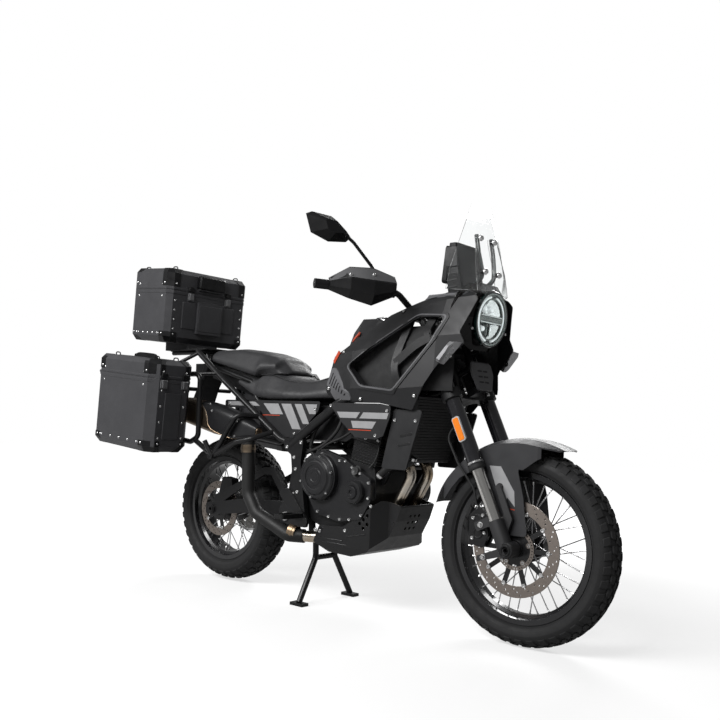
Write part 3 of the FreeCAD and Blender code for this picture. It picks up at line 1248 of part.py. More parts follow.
def seat_tubes(extra=0.0):
    """The lower pair of rear frame tubes with their cross tube, which run under and into the seats."""
    low = bent_tube([V(-222, LOW_TUBE_Y, 628), V(-190, LOW_TUBE_Y, 794.7), V(-496, LOW_TUBE_Y, 794.7),
                     V(-518, LOW_TUBE_Y - 8, 876), V(-838, LOW_TUBE_Y - 16, 958),
                     V(-862, LOW_TUBE_Y - 16, 1010)],
                    LOW_TUBE_R + extra, 60)
    return [low, mirrored(low), rod(V(-505, -LOW_TUBE_Y, 828), V(-505, LOW_TUBE_Y, 828), 9 + extra)]


@functools.cache
def subframe():
    """Rear frame: two rising side tubes, cross tubes and the plate under the top case."""
    tube = bent_tube(subframe_paths(), SUB_R, 90)
    shape = [tube, mirrored(tube)] + seat_tubes()
    for x, half, z in ((-860, SUB_Y - 12, 1014), (-516, SUB_Y + 3, 794)):
        shape.append(rod(V(x, -half, z), V(x, half, z), 10))
    shape.append(slab_xy([(-1150, -90), (-1150, 90), (-830, 132), (-830, -132)], RACK_Z - 6, RACK_Z, 20))
    for y in (80, -80):
        shape.append(rod(V(-852, y, RACK_Z - 14), V(-1130, y, RACK_Z - 14), 10))
    return fused(shape).cut(main_frame())


def tail_unit():
    """Tail lamp under the rack and the mudguard with its blank number plate and rear signals."""
    guard = lofted([ring_yz_at(V(-872, 0, RACK_Z - 6 - FREE_GAP), 62, 30),
                    ring_yz_at(V(-960, 0, 860), 58, 14),
                    ring_yz_at(V(-1040, 0, 700), 70, 8)])
    lamp = box(-985, -905, -58, 58, 930, 968)
    signals = rod(V(-985, -150, 850), V(-985, 150, 850), 9)
    return fused([guard, lamp, signals]).cut(subframe())


# ---------------------------------------------------------------- running gear
RACK_Y = 262.0
RACK_R = 11.0
HOOP = [(-690, 905), (-690, 640), (-740, 616), (-1030, 650), (-1056, 700), (-1056, 880), (-1030, 905)]


def pannier_racks():
    """Tube hoop each side that carries a case, braced to the rear frame and the passenger peg bracket."""
    corners = [V(x, RACK_Y, z) for x, z in HOOP]
    start = (corners[0] + corners[-1]) * 0.5
    hoop = bent_tube([start] + corners + [start - V(1, 0, 0)], RACK_R, 30)
    stays = [rod(V(-700, SUB_Y + 2, 914), V(-840, RACK_Y, 905), 8),
             rod(V(-850, SUB_Y - 8, 1008), V(-1000, RACK_Y, 905), 8),
             rod(PEG_ARM_END, V(-714, RACK_Y, 627), RACK_R)]
    return both(fused([hoop] + stays).cut(subframe()).cut(footpegs()))


PEG_ARM_END = V(-590, RACK_Y, 566)
PEG_ARM_R = 11.0


@functools.cache
def footpegs():
    """Rider's pegs on their hangers and passenger pegs on the rear frame brackets."""
    hanger = slab_xz([(-262, 436), (-238, 456), (-206, 456), (-100, 340), (-108, 314), (-152, 314)],
                     FRAME_Y + 11,
                     FRAME_Y + 23, 8)
    root = V(-150, FRAME_Y + 22, 360)
    peg = slab_xy([(-178, FRAME_Y + 22), (-122, FRAME_Y + 22), (-126, FRAME_Y + 130),
                   (-174, FRAME_Y + 130)], 350, 368, 8)
    slot = slab_xy([(-166, FRAME_Y + 40), (-134, FRAME_Y + 40), (-136, FRAME_Y + 120),
                    (-164, FRAME_Y + 120)], 340, 380, 5)
    rider = fused([hanger, peg.cut(slot)])
    upper = bent_tube([V(-425, SUB_Y + 6, 734), V(-456, 254, 740), V(-502, RACK_Y, 676), V(-540, RACK_Y, 622),
                       PEG_ARM_END], PEG_ARM_R, 34)
    lower = bent_tube([V(-334, SUB_Y + 4, 674), V(-378, 252, 642), V(-446, RACK_Y, 628), PEG_ARM_END],
                      PEG_ARM_R, 34)
    tread = rod(PEG_ARM_END + V(2, 8, 2), PEG_ARM_END + V(-28, 22, 60), 10)
    node = rod(PEG_ARM_END - V(0, PEG_ARM_R, 0), PEG_ARM_END + V(0, PEG_ARM_R + 5, 0), 16)
    rear = fused([upper, lower, node, tread]).cut(subframe())
    return Part.makeCompound([rider, mirrored(rider), rear, mirrored(rear)])


def chain():
    """Drive chain as one closed band round the gearbox and wheel sprockets."""
    front = V(-128, 0, 366)
    r0, r1 = 34.0, SPROCKET_R + 6

    def band(extra, y0, y1):
        span = REAR_AXLE - front
        length = math.hypot(span.x, span.z)
        slope = math.atan2(span.z, span.x)
        lean = math.asin((r1 - r0) / length)
        pts = []
        for s in (1, -1):
            n = slope + s * (math.pi / 2 + lean)
            pts.append((front + V(math.cos(n), 0, math.sin(n)) * (r0 + extra),
                        REAR_AXLE + V(math.cos(n), 0, math.sin(n)) * (r1 + extra)))
        (a0, b0), (a1, b1) = pts
        far_rear = REAR_AXLE + V(math.cos(slope), 0, math.sin(slope)) * (r1 + extra)
        far_front = front - V(math.cos(slope), 0, math.sin(slope)) * (r0 + extra)
        wire = Part.Wire([Part.LineSegment(a0, b0).toShape(), Part.Arc(b0, far_rear, b1).toShape(),
                          Part.LineSegment(b1, a1).toShape(), Part.Arc(a1, far_front, a0).toShape()])
        face = Part.Face(wire)
        face.translate(V(0, y0, 0))
        return face.extrude(V(0, y1 - y0, 0))

    return band(6, SPROCKET_Y - 8, SPROCKET_Y + 8).cut(band(-5.7, SPROCKET_Y - 9, SPROCKET_Y + 9))


# ---------------------------------------------------------------- luggage cases
HINGE_R = 6.0
HINGE_PIN_R = 3.0
HINGE_HALF = 80.0
LID_GAP = 0.4
# rear, front, half width, floor, seam and top
TOP_CASE_HALF_LENGTH = 142.0
TOP_CASE_X = (REAR_END_X + TOP_CASE_HALF_LENGTH * math.cos(math.radians(TOP_CASE_TILT))
              - CASE_FLOOR_CHAMFER * math.sin(math.radians(TOP_CASE_TILT)))
TOP_CASE = (TOP_CASE_X - TOP_CASE_HALF_LENGTH, TOP_CASE_X + TOP_CASE_HALF_LENGTH, 228.0, 1068.0, 1302.0,
            1398.0)
TOP_CASE_TURN = V(TOP_CASE_X, 0, 1068)
# rear, front, inner and outer faces, floor, seam and top
SIDE_CASE = (-1124.0, -706.0, 285.0, 500.0, 588.0, 890.0, 968.0)
SIDE_CASE_TURN = V(-915, 0, 740)


def hinge(x, y_mid, z, part):
    """Rear hinge of a case: the body's outer knuckles with the pin, or the lid's middle knuckle."""
    centre = x - HINGE_R - 0.5
    third = HINGE_HALF / 2

    def barrel(y0, y1):
        return rod(V(centre, y_mid + y0, z), V(centre, y_mid + y1, z), HINGE_R)

    if part == "lid":
        knuckle = barrel(-third + 0.3, third - 0.3)
        leaf = box(centre, x + 1, y_mid - third + 0.3, y_mid + third - 0.3, z + 2, z + 14)
        return fused([knuckle, leaf]).cut(rod(V(centre, y_mid - 100, z), V(centre, y_mid + 100, z),
                                              HINGE_PIN_R + BEARING_GAP))
    parts = [rod(V(centre, y_mid - HINGE_HALF, z), V(centre, y_mid + HINGE_HALF, z), HINGE_PIN_R)]
    for y0, y1 in ((-HINGE_HALF, -third), (third, HINGE_HALF)):
        parts.append(barrel(y0, y1))
        parts.append(box(centre, x + 1, y_mid + y0, y_mid + y1, z - 14, z - 2))
    return fused(parts)


def case_solid(x0, x1, y0, y1, z0, z1, chamfer, inset, low=0.0, high=0.0):
    """A block with flats on its upright corners, moved in by inset, sloping at its foot (low) or on top (high)."""
    def ring(z, grow):
        a, b, c, d = x0 + inset - grow, x1 - inset + grow, y0 + inset - grow, y1 - inset + grow
        cut = chamfer - 0.586 * inset
        corners = [(a + cut, c), (b - cut, c), (b, c + cut), (b, d - cut), (b - cut, d), (a + cut, d),
                   (a, d - cut),
                   (a, c + cut)]
        points = [V(x, y, z) for x, y in corners]
        return Part.makePolygon(points + points[:1])

    rings = [ring(z0, -low * 0.8), ring(z0 + low, 0)] if low else [ring(z0, 0)]
    rings += [ring(z1 - high, 0), ring(z1, -high * 0.8)] if high else [ring(z1, 0)]
    return lofted(rings)


def case_shell(x0, x1, y0, y1, z0, z1, chamfer):
    """Open-topped box of sheet with chamfered upright corners and sloping lower edges."""
    outer = case_solid(x0, x1, y0, y1, z0, z1, chamfer, 0, low=CASE_FLOOR_CHAMFER)
    inside = case_solid(x0, x1, y0, y1, z0 + CASE_WALL, z1 + 1, chamfer, CASE_WALL,
                        low=CASE_FLOOR_CHAMFER - 1)
    return outer.cut(inside)


def case_lid(x0, x1, y0, y1, z0, z1, chamfer):
    """Shallow lid of the same outline, with sloping upper edges."""
    outer = case_solid(x0, x1, y0, y1, z0, z1, chamfer, 0, high=LID_CHAMFER)
    inside = case_solid(x0, x1, y0, y1, z0 - 1, z1 - CASE_WALL, chamfer, CASE_WALL, high=LID_CHAMFER - 1)
    return outer.cut(inside)


def top_case():
    x0, x1, half, z0, z1, z2 = TOP_CASE
    shell = case_shell(x0, x1, -half, half, z0, z1, TOP_CASE_CHAMFER)
    pad = box(x1 - 1, x1 + 16, -70, 70, z0 + 50, z1 - 40)
    body = fused([shell, pad, hinge(x0, 0, z1 + LID_GAP / 2, "body")])
    body = tilted(body, TOP_CASE_TURN, TOP_CASE_TILT)
    inside = tilted(case_solid(x0, x1, -half, half, z0 + 1, z1, TOP_CASE_CHAMFER, 1), TOP_CASE_TURN,
                    TOP_CASE_TILT)
    base = box(x0 + 90, x1 - 20, -84, 84, RACK_Z, z0 + 20).cut(inside)
    return fused([body, max(base.Solids, key=lambda s: s.Volume)])


def top_case_lid():
    x0, x1, half, z0, z1, z2 = TOP_CASE
    lid = case_lid(x0, x1, -half, half, z1 + LID_GAP, z2, TOP_CASE_CHAMFER)
    pad = box(x1 - 1, x1 + 18, -70, 70, z1 + 16, z2 - 22)
    lid = fused([lid, pad, hinge(x0, 0, z1 + LID_GAP / 2, "lid")])
    return tilted(lid, TOP_CASE_TURN, TOP_CASE_TILT)


def side_case(side):
    x0, x1, y0, y1, z0, z1, z2 = SIDE_CASE
    shell = case_shell(x0, x1, y0, y1, z0, z1, SIDE_CASE_CHAMFER)
    shape = fused([shell, hinge(x0, (y0 + y1) / 2, z1 + LID_GAP / 2, "body")])
    shape = tilted(shape, SIDE_CASE_TURN, CASE_TILT)
    seat = RACK_Y + RACK_R + FREE_GAP
    pucks = [box(x - 16, x + 16, seat, y0 + 1, z - 20, z + 20) for x,
             z in ((-762, 846), (-790, 640), (-1050, 868))]
    shape = fused([shape] + pucks)
    return shape if side > 0 else mirrored(shape)


def side_case_lid(side):
    x0, x1, y0, y1, z0, z1, z2 = SIDE_CASE
    lid = case_lid(x0, x1, y0, y1, z1 + LID_GAP, z2, SIDE_CASE_CHAMFER)
    lid = fused([lid, hinge(x0, (y0 + y1) / 2, z1 + LID_GAP / 2, "lid")])
    lid = tilted(lid, SIDE_CASE_TURN, CASE_TILT)
    return lid if side > 0 else mirrored(lid)


# ---------------------------------------------------------------- all the pieces
def build():
    pieces = {}
    pieces.update(front_wheel())
    pieces.update(rear_wheel())
    pieces["fork_yoke"] = fork_yoke()
    pieces["fork_outer_tubes"] = fork_outer_tubes()
    pieces["fork_lowers"] = fork_lowers()
    pieces["front_fender"] = front_fender()
    pieces["front_calipers"] = front_calipers()
    pieces["fork_shield"] = fork_shield()
    pieces["handlebar"] = handlebar()
    pieces["hand_controls"] = hand_controls()
    pieces["handguards"] = handguards()
    pieces["mirrors"] = mirrors()
    pieces["front_brake_hose"] = front_brake_hose()
    pieces["main_frame"] = fused([main_frame(), side_stand_bracket()])
    pieces["engine"] = engine()
    pieces["engine_covers"] = engine_covers()
    pieces["exhaust_headers"] = exhaust_headers()
    pieces["exhaust_pipe"] = exhaust_pipe()
    pieces["muffler"] = muffler()
    pieces["skid_plate"] = skid_plate()
    pieces["radiator"] = radiator()
    pieces["radiator_guards"] = radiator_guards()
    pieces["fuel_tank"] = fuel_tank()
    pieces["side_cowls"] = side_cowls()
    pieces["nose_fairing"] = nose_fairing()
    pieces["headlamp"] = headlamp()
    pieces["windscreen"] = windscreen()
    pieces["dash_tower"] = dash_tower()
    pieces["front_turn_signals"] = front_turn_signals()
    pieces["rider_seat"] = rider_seat()
    pieces["passenger_seat"] = passenger_seat()
    pieces["side_panels"] = side_panels()
    pieces["subframe"] = subframe()
    pieces["tail_unit"] = tail_unit()
    pieces["pannier_racks"] = pannier_racks()
    pieces["swingarm"] = swingarm()
    pieces["shock"] = shock()
    pieces["rear_caliper"] = rear_caliper()
    pieces["footpegs"] = footpegs()
    pieces["chain"] = chain()
    pieces["top_case"] = top_case()
    pieces["top_case_lid"] = top_case_lid()
    for side, name in ((1, "left"), (-1, "right")):
        pieces["side_case_" + name] = side_case(side)
        pieces["side_case_lid_" + name] = side_case_lid(side)
    pieces["centre_stand"] = centre_stand()
    pieces["side_stand"] = side_stand()
    return pieces


os.makedirs("parts", exist_ok=True)
for name, shape in build().items():
    placed = shape.copy()
    placed.translate(V(SHIFT_X, 0, 0))
    placed.exportStep("parts/" + name + ".step")
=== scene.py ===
"""Looks of an adventure motorcycle with wire wheels, luggage cases, a centre stand and a side stand.

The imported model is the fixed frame: metres, X forward, Y to the rider's left, Z up, origin on the floor
under the middle of the machine. Each section below makes one group of pieces in the order of assembly.
"""
import math

import bmesh
import bpy
import numpy as np
from mathutils import Matrix, Vector
from mathutils.geometry import tessellate_polygon


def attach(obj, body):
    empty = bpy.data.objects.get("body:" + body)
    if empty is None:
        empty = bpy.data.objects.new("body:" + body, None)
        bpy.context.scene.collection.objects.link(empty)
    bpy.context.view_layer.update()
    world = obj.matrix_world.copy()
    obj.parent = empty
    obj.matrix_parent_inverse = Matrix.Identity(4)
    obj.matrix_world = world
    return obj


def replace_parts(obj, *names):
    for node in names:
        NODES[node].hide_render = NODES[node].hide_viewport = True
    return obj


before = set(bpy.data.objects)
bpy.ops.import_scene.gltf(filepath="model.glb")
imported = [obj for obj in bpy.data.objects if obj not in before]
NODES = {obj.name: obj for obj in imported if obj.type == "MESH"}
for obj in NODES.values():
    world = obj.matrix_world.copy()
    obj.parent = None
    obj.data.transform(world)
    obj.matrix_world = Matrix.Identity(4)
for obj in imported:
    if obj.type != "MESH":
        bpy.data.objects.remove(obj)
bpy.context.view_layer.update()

# ---------------------------------------------------------------- stage
# A seamless pale studio floor, a soft sky and three large softboxes.
# The camera stands low, ahead of the machine and to its right.
scene = bpy.context.scene
scene.view_settings.view_transform = "Standard"

EYE = Vector((2.2457, -2.4789, 0.7314))
LOOK_AZIMUTH, LOOK_RISE, LOOK_ROLL = math.radians(40.8724), math.radians(0.5488), math.radians(2.2297)
towards_eye = Vector((math.sin(LOOK_AZIMUTH) * math.cos(LOOK_RISE),
                      -math.cos(LOOK_AZIMUTH) * math.cos(LOOK_RISE), math.sin(LOOK_RISE)))
level = (-towards_eye).cross(Vector((0, 0, 1))).normalized()
upright = level.cross(-towards_eye)
right = level * math.cos(LOOK_ROLL) + upright * math.sin(LOOK_ROLL)
up = upright * math.cos(LOOK_ROLL) - level * math.sin(LOOK_ROLL)
camera = bpy.data.objects.new("camera", bpy.data.cameras.new("camera"))
camera.data.sensor_width = 36.0
camera.data.lens = 41.762
camera.data.shift_x = -0.00335
camera.data.shift_y = 0.0963
camera.data.clip_end = 60.0
camera.matrix_world = Matrix((
    (right.x, up.x, towards_eye.x, EYE.x),
    (right.y, up.y, towards_eye.y, EYE.y),
    (right.z, up.z, towards_eye.z, EYE.z),
    (0, 0, 0, 1)))
scene.collection.objects.link(camera)
scene.camera = camera

FLOOR_COLOR = (0.38, 0.38, 0.38)
NEAR_GLOW = 0.62        # share of full white that the floor shows close to the machine
MIRRORED_GLOW = 0.16    # share of the white surroundings that polished parts mirror
SKY_GLOW = 0.08         # light that the sky gives the machine


def feed(tree, node, inputs):
    """Sets a node's inputs: a number or a colour is the socket's own value, another node's output is
    linked."""
    for key, value in inputs.items():
        socket = node.inputs[key]
        if isinstance(value, bpy.types.NodeSocket):
            tree.links.new(value, socket)
        else:
            socket.default_value = (*value, 1) if socket.type == "RGBA" else value


def added(tree, kind, inputs, output=0, **settings):
    """The output of a new shader node with the settings and inputs given."""
    node = tree.nodes.new("ShaderNode" + kind)
    for key, value in settings.items():
        setattr(node, key, value)
    feed(tree, node, inputs)
    return node.outputs[output]


def shader_tree(name):
    """A new material with its node tree emptied down to the output."""
    mat = bpy.data.materials.new(name)
    mat.use_nodes = True
    tree = mat.node_tree
    tree.nodes.clear()
    return mat, tree, tree.nodes.new("ShaderNodeOutputMaterial")


def white_share(tree):
    """How much of the white surroundings a ray sees: all of it from the camera or through clear parts, a
    small share from polished ones, none otherwise."""
    ray = tree.nodes.new("ShaderNodeLightPath").outputs
    seen = added(tree, "Math", {0: ray["Is Camera Ray"], 1: ray["Is Transmission Ray"]}, operation="MAXIMUM")
    return added(tree, "Math", {0: ray["Is Glossy Ray"], 1: MIRRORED_GLOW, 2: seen},
                 operation="MULTIPLY_ADD")


def studio_floor():
    """Pale matt floor that reads as white where no shadow falls on it: its glow rises with the distance
    from the machine, where the lamps no longer reach."""
    mat, tree, out = shader_tree("studio_floor")
    place = added(tree, "TexCoord", {}, "Object")
    away = added(tree, "VectorMath", {0: place}, "Value", operation="LENGTH")
    rise = added(tree, "MapRange", {"Value": away, "From Min": 1.5, "From Max": 4.0, "To Min": NEAR_GLOW,
                                    "To Max": 1.0})
    lift = added(tree, "Math", {0: white_share(tree), 1: rise}, operation="MULTIPLY")
    matt = added(tree, "BsdfDiffuse", {"Color": FLOOR_COLOR})
    glow = added(tree, "Emission", {"Color": (1, 1, 1), "Strength": lift})
    feed(tree, out, {"Surface": added(tree, "AddShader", {0: matt, 1: glow})})
    return mat


floor_mesh = bpy.data.meshes.new("floor")
FLOOR_REACH = 14.0
floor_corners = [(x * FLOOR_REACH, y * FLOOR_REACH, 0) for x, y in ((-1, -1), (1, -1), (1, 1), (-1, 1))]
floor_mesh.from_pydata(floor_corners, [], [(0, 1, 2, 3)])
floor = bpy.data.objects.new("floor", floor_mesh)
floor_mesh.materials.append(studio_floor())
scene.collection.objects.link(floor)

world = bpy.data.worlds.new("sky")
scene.world = world
world.use_nodes = True
sky = world.node_tree
sky.nodes.clear()
strength = added(sky, "MapRange", {"Value": white_share(sky), "To Min": SKY_GLOW, "To Max": 1.0})
glow = added(sky, "Background", {"Color": (1, 1, 1), "Strength": strength})
feed(sky, sky.nodes.new("ShaderNodeOutputWorld"), {"Surface": glow})

# columns: name, place, aim, width, height, watts
for name, place, aim, width, height, watts in [
        ("key_softbox", (0.5, -3.6, 3.4), (0.0, 0, 0.6), 2.2, 1.4, 165),
        ("side_softbox", (-1.8, -3.5, 2.6), (-0.3, 0, 0.7), 2.6, 1.0, 125),
        ("far_softbox", (-1.0, 3.4, 3.2), (0, 0, 0.8), 3.0, 1.6, 150)]:
    lamp = bpy.data.lights.new(name, "AREA")
    lamp.shape = "RECTANGLE"
    lamp.size, lamp.size_y, lamp.energy = width, height, watts
    holder = bpy.data.objects.new(name, lamp)
    holder.location = place
    holder.rotation_euler = (Vector(aim) - Vector(place)).to_track_quat("-Z", "Y").to_euler()
    scene.collection.objects.link(holder)


# ---------------------------------------------------------------- frame, rear frame, swingarm and stands
# Welded steel tubes under a satin black powder coat, with forged lugs and bolted joints.
# The coat lies smooth with a fine orange-peel, and its edges are painted paler: part rubbed wear, part
# painted highlight. Bolt heads are bright zinc.
AHEAD = 100.5     # the drawing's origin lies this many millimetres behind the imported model's


def finish_tree(name, color, rough, metal, gloss, level):
    """A material with one Principled surface and Object coordinates, ready for its patterns."""
    mat, tree, out = shader_tree(name)
    skin = tree.nodes.new("ShaderNodeBsdfPrincipled")
    feed(tree, skin, {"Base Color": color, "Roughness": rough, "Metallic": metal, "Coat Weight": gloss,
                      "Coat Roughness": 0.1, "Specular IOR Level": level})
    feed(tree, out, {"Surface": skin.outputs[0]})
    return mat, tree, skin, added(tree, "TexCoord", {}, "Object")


def shaded(color, share):
    """The colour made darker or paler by a share, no part of it above white."""
    return [min(c * share, 1) for c in color]


def speckled(tree, place, scale, detail=2.0):
    """A noise pattern between 0 and 1, with scale patches to the metre."""
    return added(tree, "TexNoise", {"Vector": place, "Scale": scale, "Detail": detail})


def tinted(tree, share, first, second):
    """A colour that runs from the first to the second as the share rises."""
    return added(tree, "Mix", {"Factor": share, "A": first, "B": second}, "Result", data_type="RGBA")


def bumped(tree, height, strength, depth, **under):
    """A relief of the height pattern, depth metres deep, over the normal that may lie under it."""
    return added(tree, "Bump", {"Height": height, "Strength": strength, "Distance": depth, **under})


def coat_finish(name, color, rough, metal=0.0, gloss=0.0, grain=900.0, relief=0.00015, cloud=9.0, shift=0.18,
                soft=0.0012, edge_wear_and_highlight=0.0, edge_wear_and_highlight_color=(0.25, 0.25, 0.25), level=0.26):
    """A coated or moulded surface: a base colour that drifts in soft clouds, roughness that drifts with it,
    a fine bump, edges rounded by soft metres, and a share of paler colour along the edges that is part
    rubbed wear and part painted highlight."""
    mat, tree, skin, place = finish_tree(name, color, rough, metal, gloss, level)
    base = tinted(tree, speckled(tree, place, cloud, 5.0), shaded(color, 1 - shift),
                  shaded(color, 1 + shift))
    smear = speckled(tree, place, cloud * 3.1, 3.0)
    matt = added(tree, "MapRange", {"Value": smear, "From Min": 0.3, "From Max": 0.7,
                                    "To Min": max(rough - 0.07, 0.03), "To Max": min(rough + 0.07, 1.0)})
    under = {}
    if soft > 0:
        under["Normal"] = added(tree, "Bevel", {"Radius": soft}, samples=4)
    # Paler colour along the edges: part rubbed wear, part a painted highlight where light would catch them.
    if soft > 0 and edge_wear_and_highlight > 0:
        flat_out = added(tree, "NewGeometry", {}, "Normal")
        turn = added(tree, "VectorMath", {0: under["Normal"], 1: flat_out}, "Value", operation="DOT_PRODUCT")
        edge_wear_and_highlight_mask = added(tree, "MapRange", {"Value": turn, "From Min": 0.995, "From Max": 0.90, "To Max": edge_wear_and_highlight})
        base = tinted(tree, edge_wear_and_highlight_mask, base, edge_wear_and_highlight_color)
    relief_out = bumped(tree, speckled(tree, place, grain), 0.6, relief, **under)
    feed(tree, skin, {"Base Color": base, "Roughness": matt, "Normal": relief_out})
    return mat


def dress(mat, *nodes):
    """Gives CAD nodes this material."""
    for node in nodes:
        piece = NODES[node]
        if not piece.material_slots:
            piece.data.materials.append(mat)
        for holder in piece.material_slots:
            holder.material = mat


def grid(points, around=False, along=False):
    """The quads between the rows and columns of an array of points; around joins the last column to the
    first, along the last row to the first. A shape is its points, its quads and its triangles."""
    points = np.asarray(points, float)
    rows, cols = points.shape[:2]
    index = np.arange(rows * cols).reshape(rows, cols)
    if around:
        index = np.concatenate([index, index[:, :1]], 1)
    if along:
        index = np.concatenate([index, index[:1]], 0)
    quads = np.stack([index[:-1, :-1], index[:-1, 1:], index[1:, 1:], index[1:, :-1]], -1).reshape(-1, 4)
    return points.reshape(-1, 3), quads, np.zeros((0, 3), int)


def joined(*shapes):
    """Several shapes as one: each one's face numbers are raised by the points before it."""
    points, quads, tris, count = [], [], [], 0
    for verts, four, three in shapes:
        points.append(verts)
        quads.append(four + count)
        tris.append(three + count)
        count += len(verts)
    return np.concatenate(points), np.concatenate(quads), np.concatenate(tris)


def flipped(shape):
    """The shape mirrored to the machine's other side."""
    return shape[0] * (1, -1, 1), shape[1], shape[2]


def both(shape):
    """The shape and its mirror image on the machine's other side."""
    return joined(shape, flipped(shape))


def strewn(shape, places, axes):
    """A copy of the shape at every place: point times the place's three axes (rows of axes), plus the
    place."""
    points, quads, tris = shape
    places = np.asarray(places, float)
    axes = np.broadcast_to(np.asarray(axes, float), (len(places), 3, 3))
    verts = places[:, None] + np.einsum("nj,kji->kni", points, axes)
    step = (np.arange(len(places)) * len(points))[:, None, None]
    return verts.reshape(-1, 3), (quads[None] + step).reshape(-1, 4), (tris[None] + step).reshape(-1, 3)


def facing(normals):
    """Axes whose third row is each normal, and whose other two rows lie square to it."""
    n = np.atleast_2d(np.asarray(normals, float))
    n = n / np.linalg.norm(n, axis=1, keepdims=True)
    hint = np.where(np.abs(n[:, 2:3]) > 0.9, [[1.0, 0, 0]], [[0, 0, 1.0]])
    u = np.cross(hint, n)
    u /= np.linalg.norm(u, axis=1, keepdims=True)
    return np.stack([u, np.cross(n, u), n], 1)


def turned(profile, sides=16, start=0.0):
    """A lathe shape about the local Z axis: each (radius, height) of the profile makes a ring of points
    (radius cos t, radius sin t, height)."""
    profile = np.asarray(profile, float)
    t = start + np.linspace(0, 2 * math.pi, sides, endpoint=False)
    ring = np.stack([np.cos(t), np.sin(t)], -1)
    flat = profile[:, None, :1] * ring[None]
    tall = np.broadcast_to(profile[:, None, 1:], (len(profile), sides, 1))
    return grid(np.concatenate([flat, tall], -1), around=True)


def spread(shape, centre, axis):
    """The shape moved so that its Z axis runs along axis from centre."""
    return strewn(shape, [centre], facing([axis]))


def flowing(points, steps=8):
    """A smooth line through the points: on each run, the cubic whose slopes are half the chord of its
    neighbours (Catmull and Rom)."""
    p = np.asarray(points, float)
    p = np.concatenate([p[:1] * 2 - p[1:2], p, p[-1:] * 2 - p[-2:-1]])
    t = np.linspace(0, 1, steps, endpoint=False)[None, :, None]
    a, b, c, d = (p[i:len(p) - 3 + i, None] for i in range(4))
    runs = 0.5 * (2 * b + (c - a) * t + (2 * a - 5 * b + 4 * c - d) * t ** 2
                  + (3 * b - a - 3 * c + d) * t ** 3)
    return np.concatenate([runs.reshape(-1, p.shape[1]), p[-2:-1]])


def swept(path, outline, closed=False, spin=None):
    """An outline of (across, up) carried along a path. Up stays as near Z (or spin) as the path allows."""
    path = np.asarray(path, float)
    outline = np.asarray(outline, float)
    if closed:
        run = np.roll(path, -1, 0) - np.roll(path, 1, 0)
    else:
        run = np.gradient(path, axis=0)
    run /= np.linalg.norm(run, axis=1, keepdims=True)
    hint = np.broadcast_to(np.asarray(spin if spin is not None else (0.02, 0.03, 1.0), float), run.shape)
    across = np.cross(run, hint)
    across /= np.linalg.norm(across, axis=1, keepdims=True)
    lift = np.cross(across, run)
    rings = path[:, None] + across[:, None] * outline[None, :, :1] + lift[:, None] * outline[None, :, 1:]
    if not closed:
        rings = np.concatenate([np.broadcast_to(path[:1, None], rings[:1].shape), rings,
                                np.broadcast_to(path[-1:, None], rings[:1].shape)])
    return grid(rings, around=True, along=closed)


def round_outline(radius, sides=10):
    """A circle of (across, up) points: radius cos t, radius sin t."""
    t = np.linspace(0, 2 * math.pi, sides, endpoint=False)
    return np.stack([radius * np.cos(t), radius * np.sin(t)], -1)


def inset(outline, depth):
    """The outline moved inward by depth: each corner slides along the line that halves its angle."""
    p = np.asarray(outline, float)
    back = p - np.roll(p, 1, 0)
    ahead = np.roll(p, -1, 0) - p
    back /= np.linalg.norm(back, axis=1, keepdims=True)
    ahead /= np.linalg.norm(ahead, axis=1, keepdims=True)
    area = np.sum(p[:, 0] * np.roll(p[:, 1], -1) - p[:, 1] * np.roll(p[:, 0], -1))
    turn = 1.0 if area > 0 else -1.0
    n1 = np.stack([-back[:, 1], back[:, 0]], -1) * turn
    n2 = np.stack([-ahead[:, 1], ahead[:, 0]], -1) * turn
    slide = (n1 + n2) / np.maximum(1 + np.sum(n1 * n2, 1, keepdims=True), 0.35)
    return p + slide * depth


def oblong(half_wide, half_tall, top=None):
    """A rectangle about its middle, or one whose upper edge has its own half width."""
    top = half_wide if top is None else top
    return [(-half_wide, -half_tall), (half_wide, -half_tall), (top, half_tall), (-top, half_tall)]


def lozenge(half_wide, half_tall, tip):
    """A flat bar's section: a rectangle whose two ends run out to a point at tip from the middle."""
    w, h = half_wide, half_tall
    return np.array([(-w, -h), (w, -h), (tip, 0), (w, h), (-w, h), (-tip, 0)], float)


def plate(outline, height, centre, across, up, bevel=0.6, sink=0.5):
    """A flat plate: its outline of (across, up) stands sink below the centre's plane and height above it,
    the rim of its face moved in by bevel. The face is cut into triangles."""
    outline = np.asarray(outline, float)
    across, up = np.asarray(across, float), np.asarray(up, float)
    out = np.cross(across, up)
    rings = []
    for flat, lift in ((outline, -sink), (outline, height - bevel), (inset(outline, bevel), height)):
        rings.append(np.asarray(centre, float) + flat[:, :1] * across + flat[:, 1:] * up + out * lift)
    points, quads = grid(np.stack(rings), around=True)[:2]
    count = len(outline)
    face = np.array(tessellate_polygon([[(x, y, 0) for x, y in outline]]))
    return points, quads, np.concatenate([face + 2 * count, face[:, ::-1]])


def merged(mesh, reach, extra=((), ()), outward=True):
    """Merges a mesh's points that lie within reach of each other, after adding the points and quads of an
    extra shape, and turns its faces outward."""
    work = bmesh.new()
    work.from_mesh(mesh)
    corners = [work.verts.new(point) for point in extra[0]]
    for quad in extra[1]:
        work.faces.new([corners[i] for i in quad])
    bmesh.ops.remove_doubles(work, verts=work.verts, dist=reach)
    if outward:
        bmesh.ops.recalc_face_normals(work, faces=work.faces)
    work.to_mesh(mesh)
    work.free()


def placed(name, mesh, body, slot):
    """The mesh as a piece of the body. The slot is not used."""
    piece = bpy.data.objects.new(name, mesh)
    scene.collection.objects.link(piece)
    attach(piece, body)
    return piece


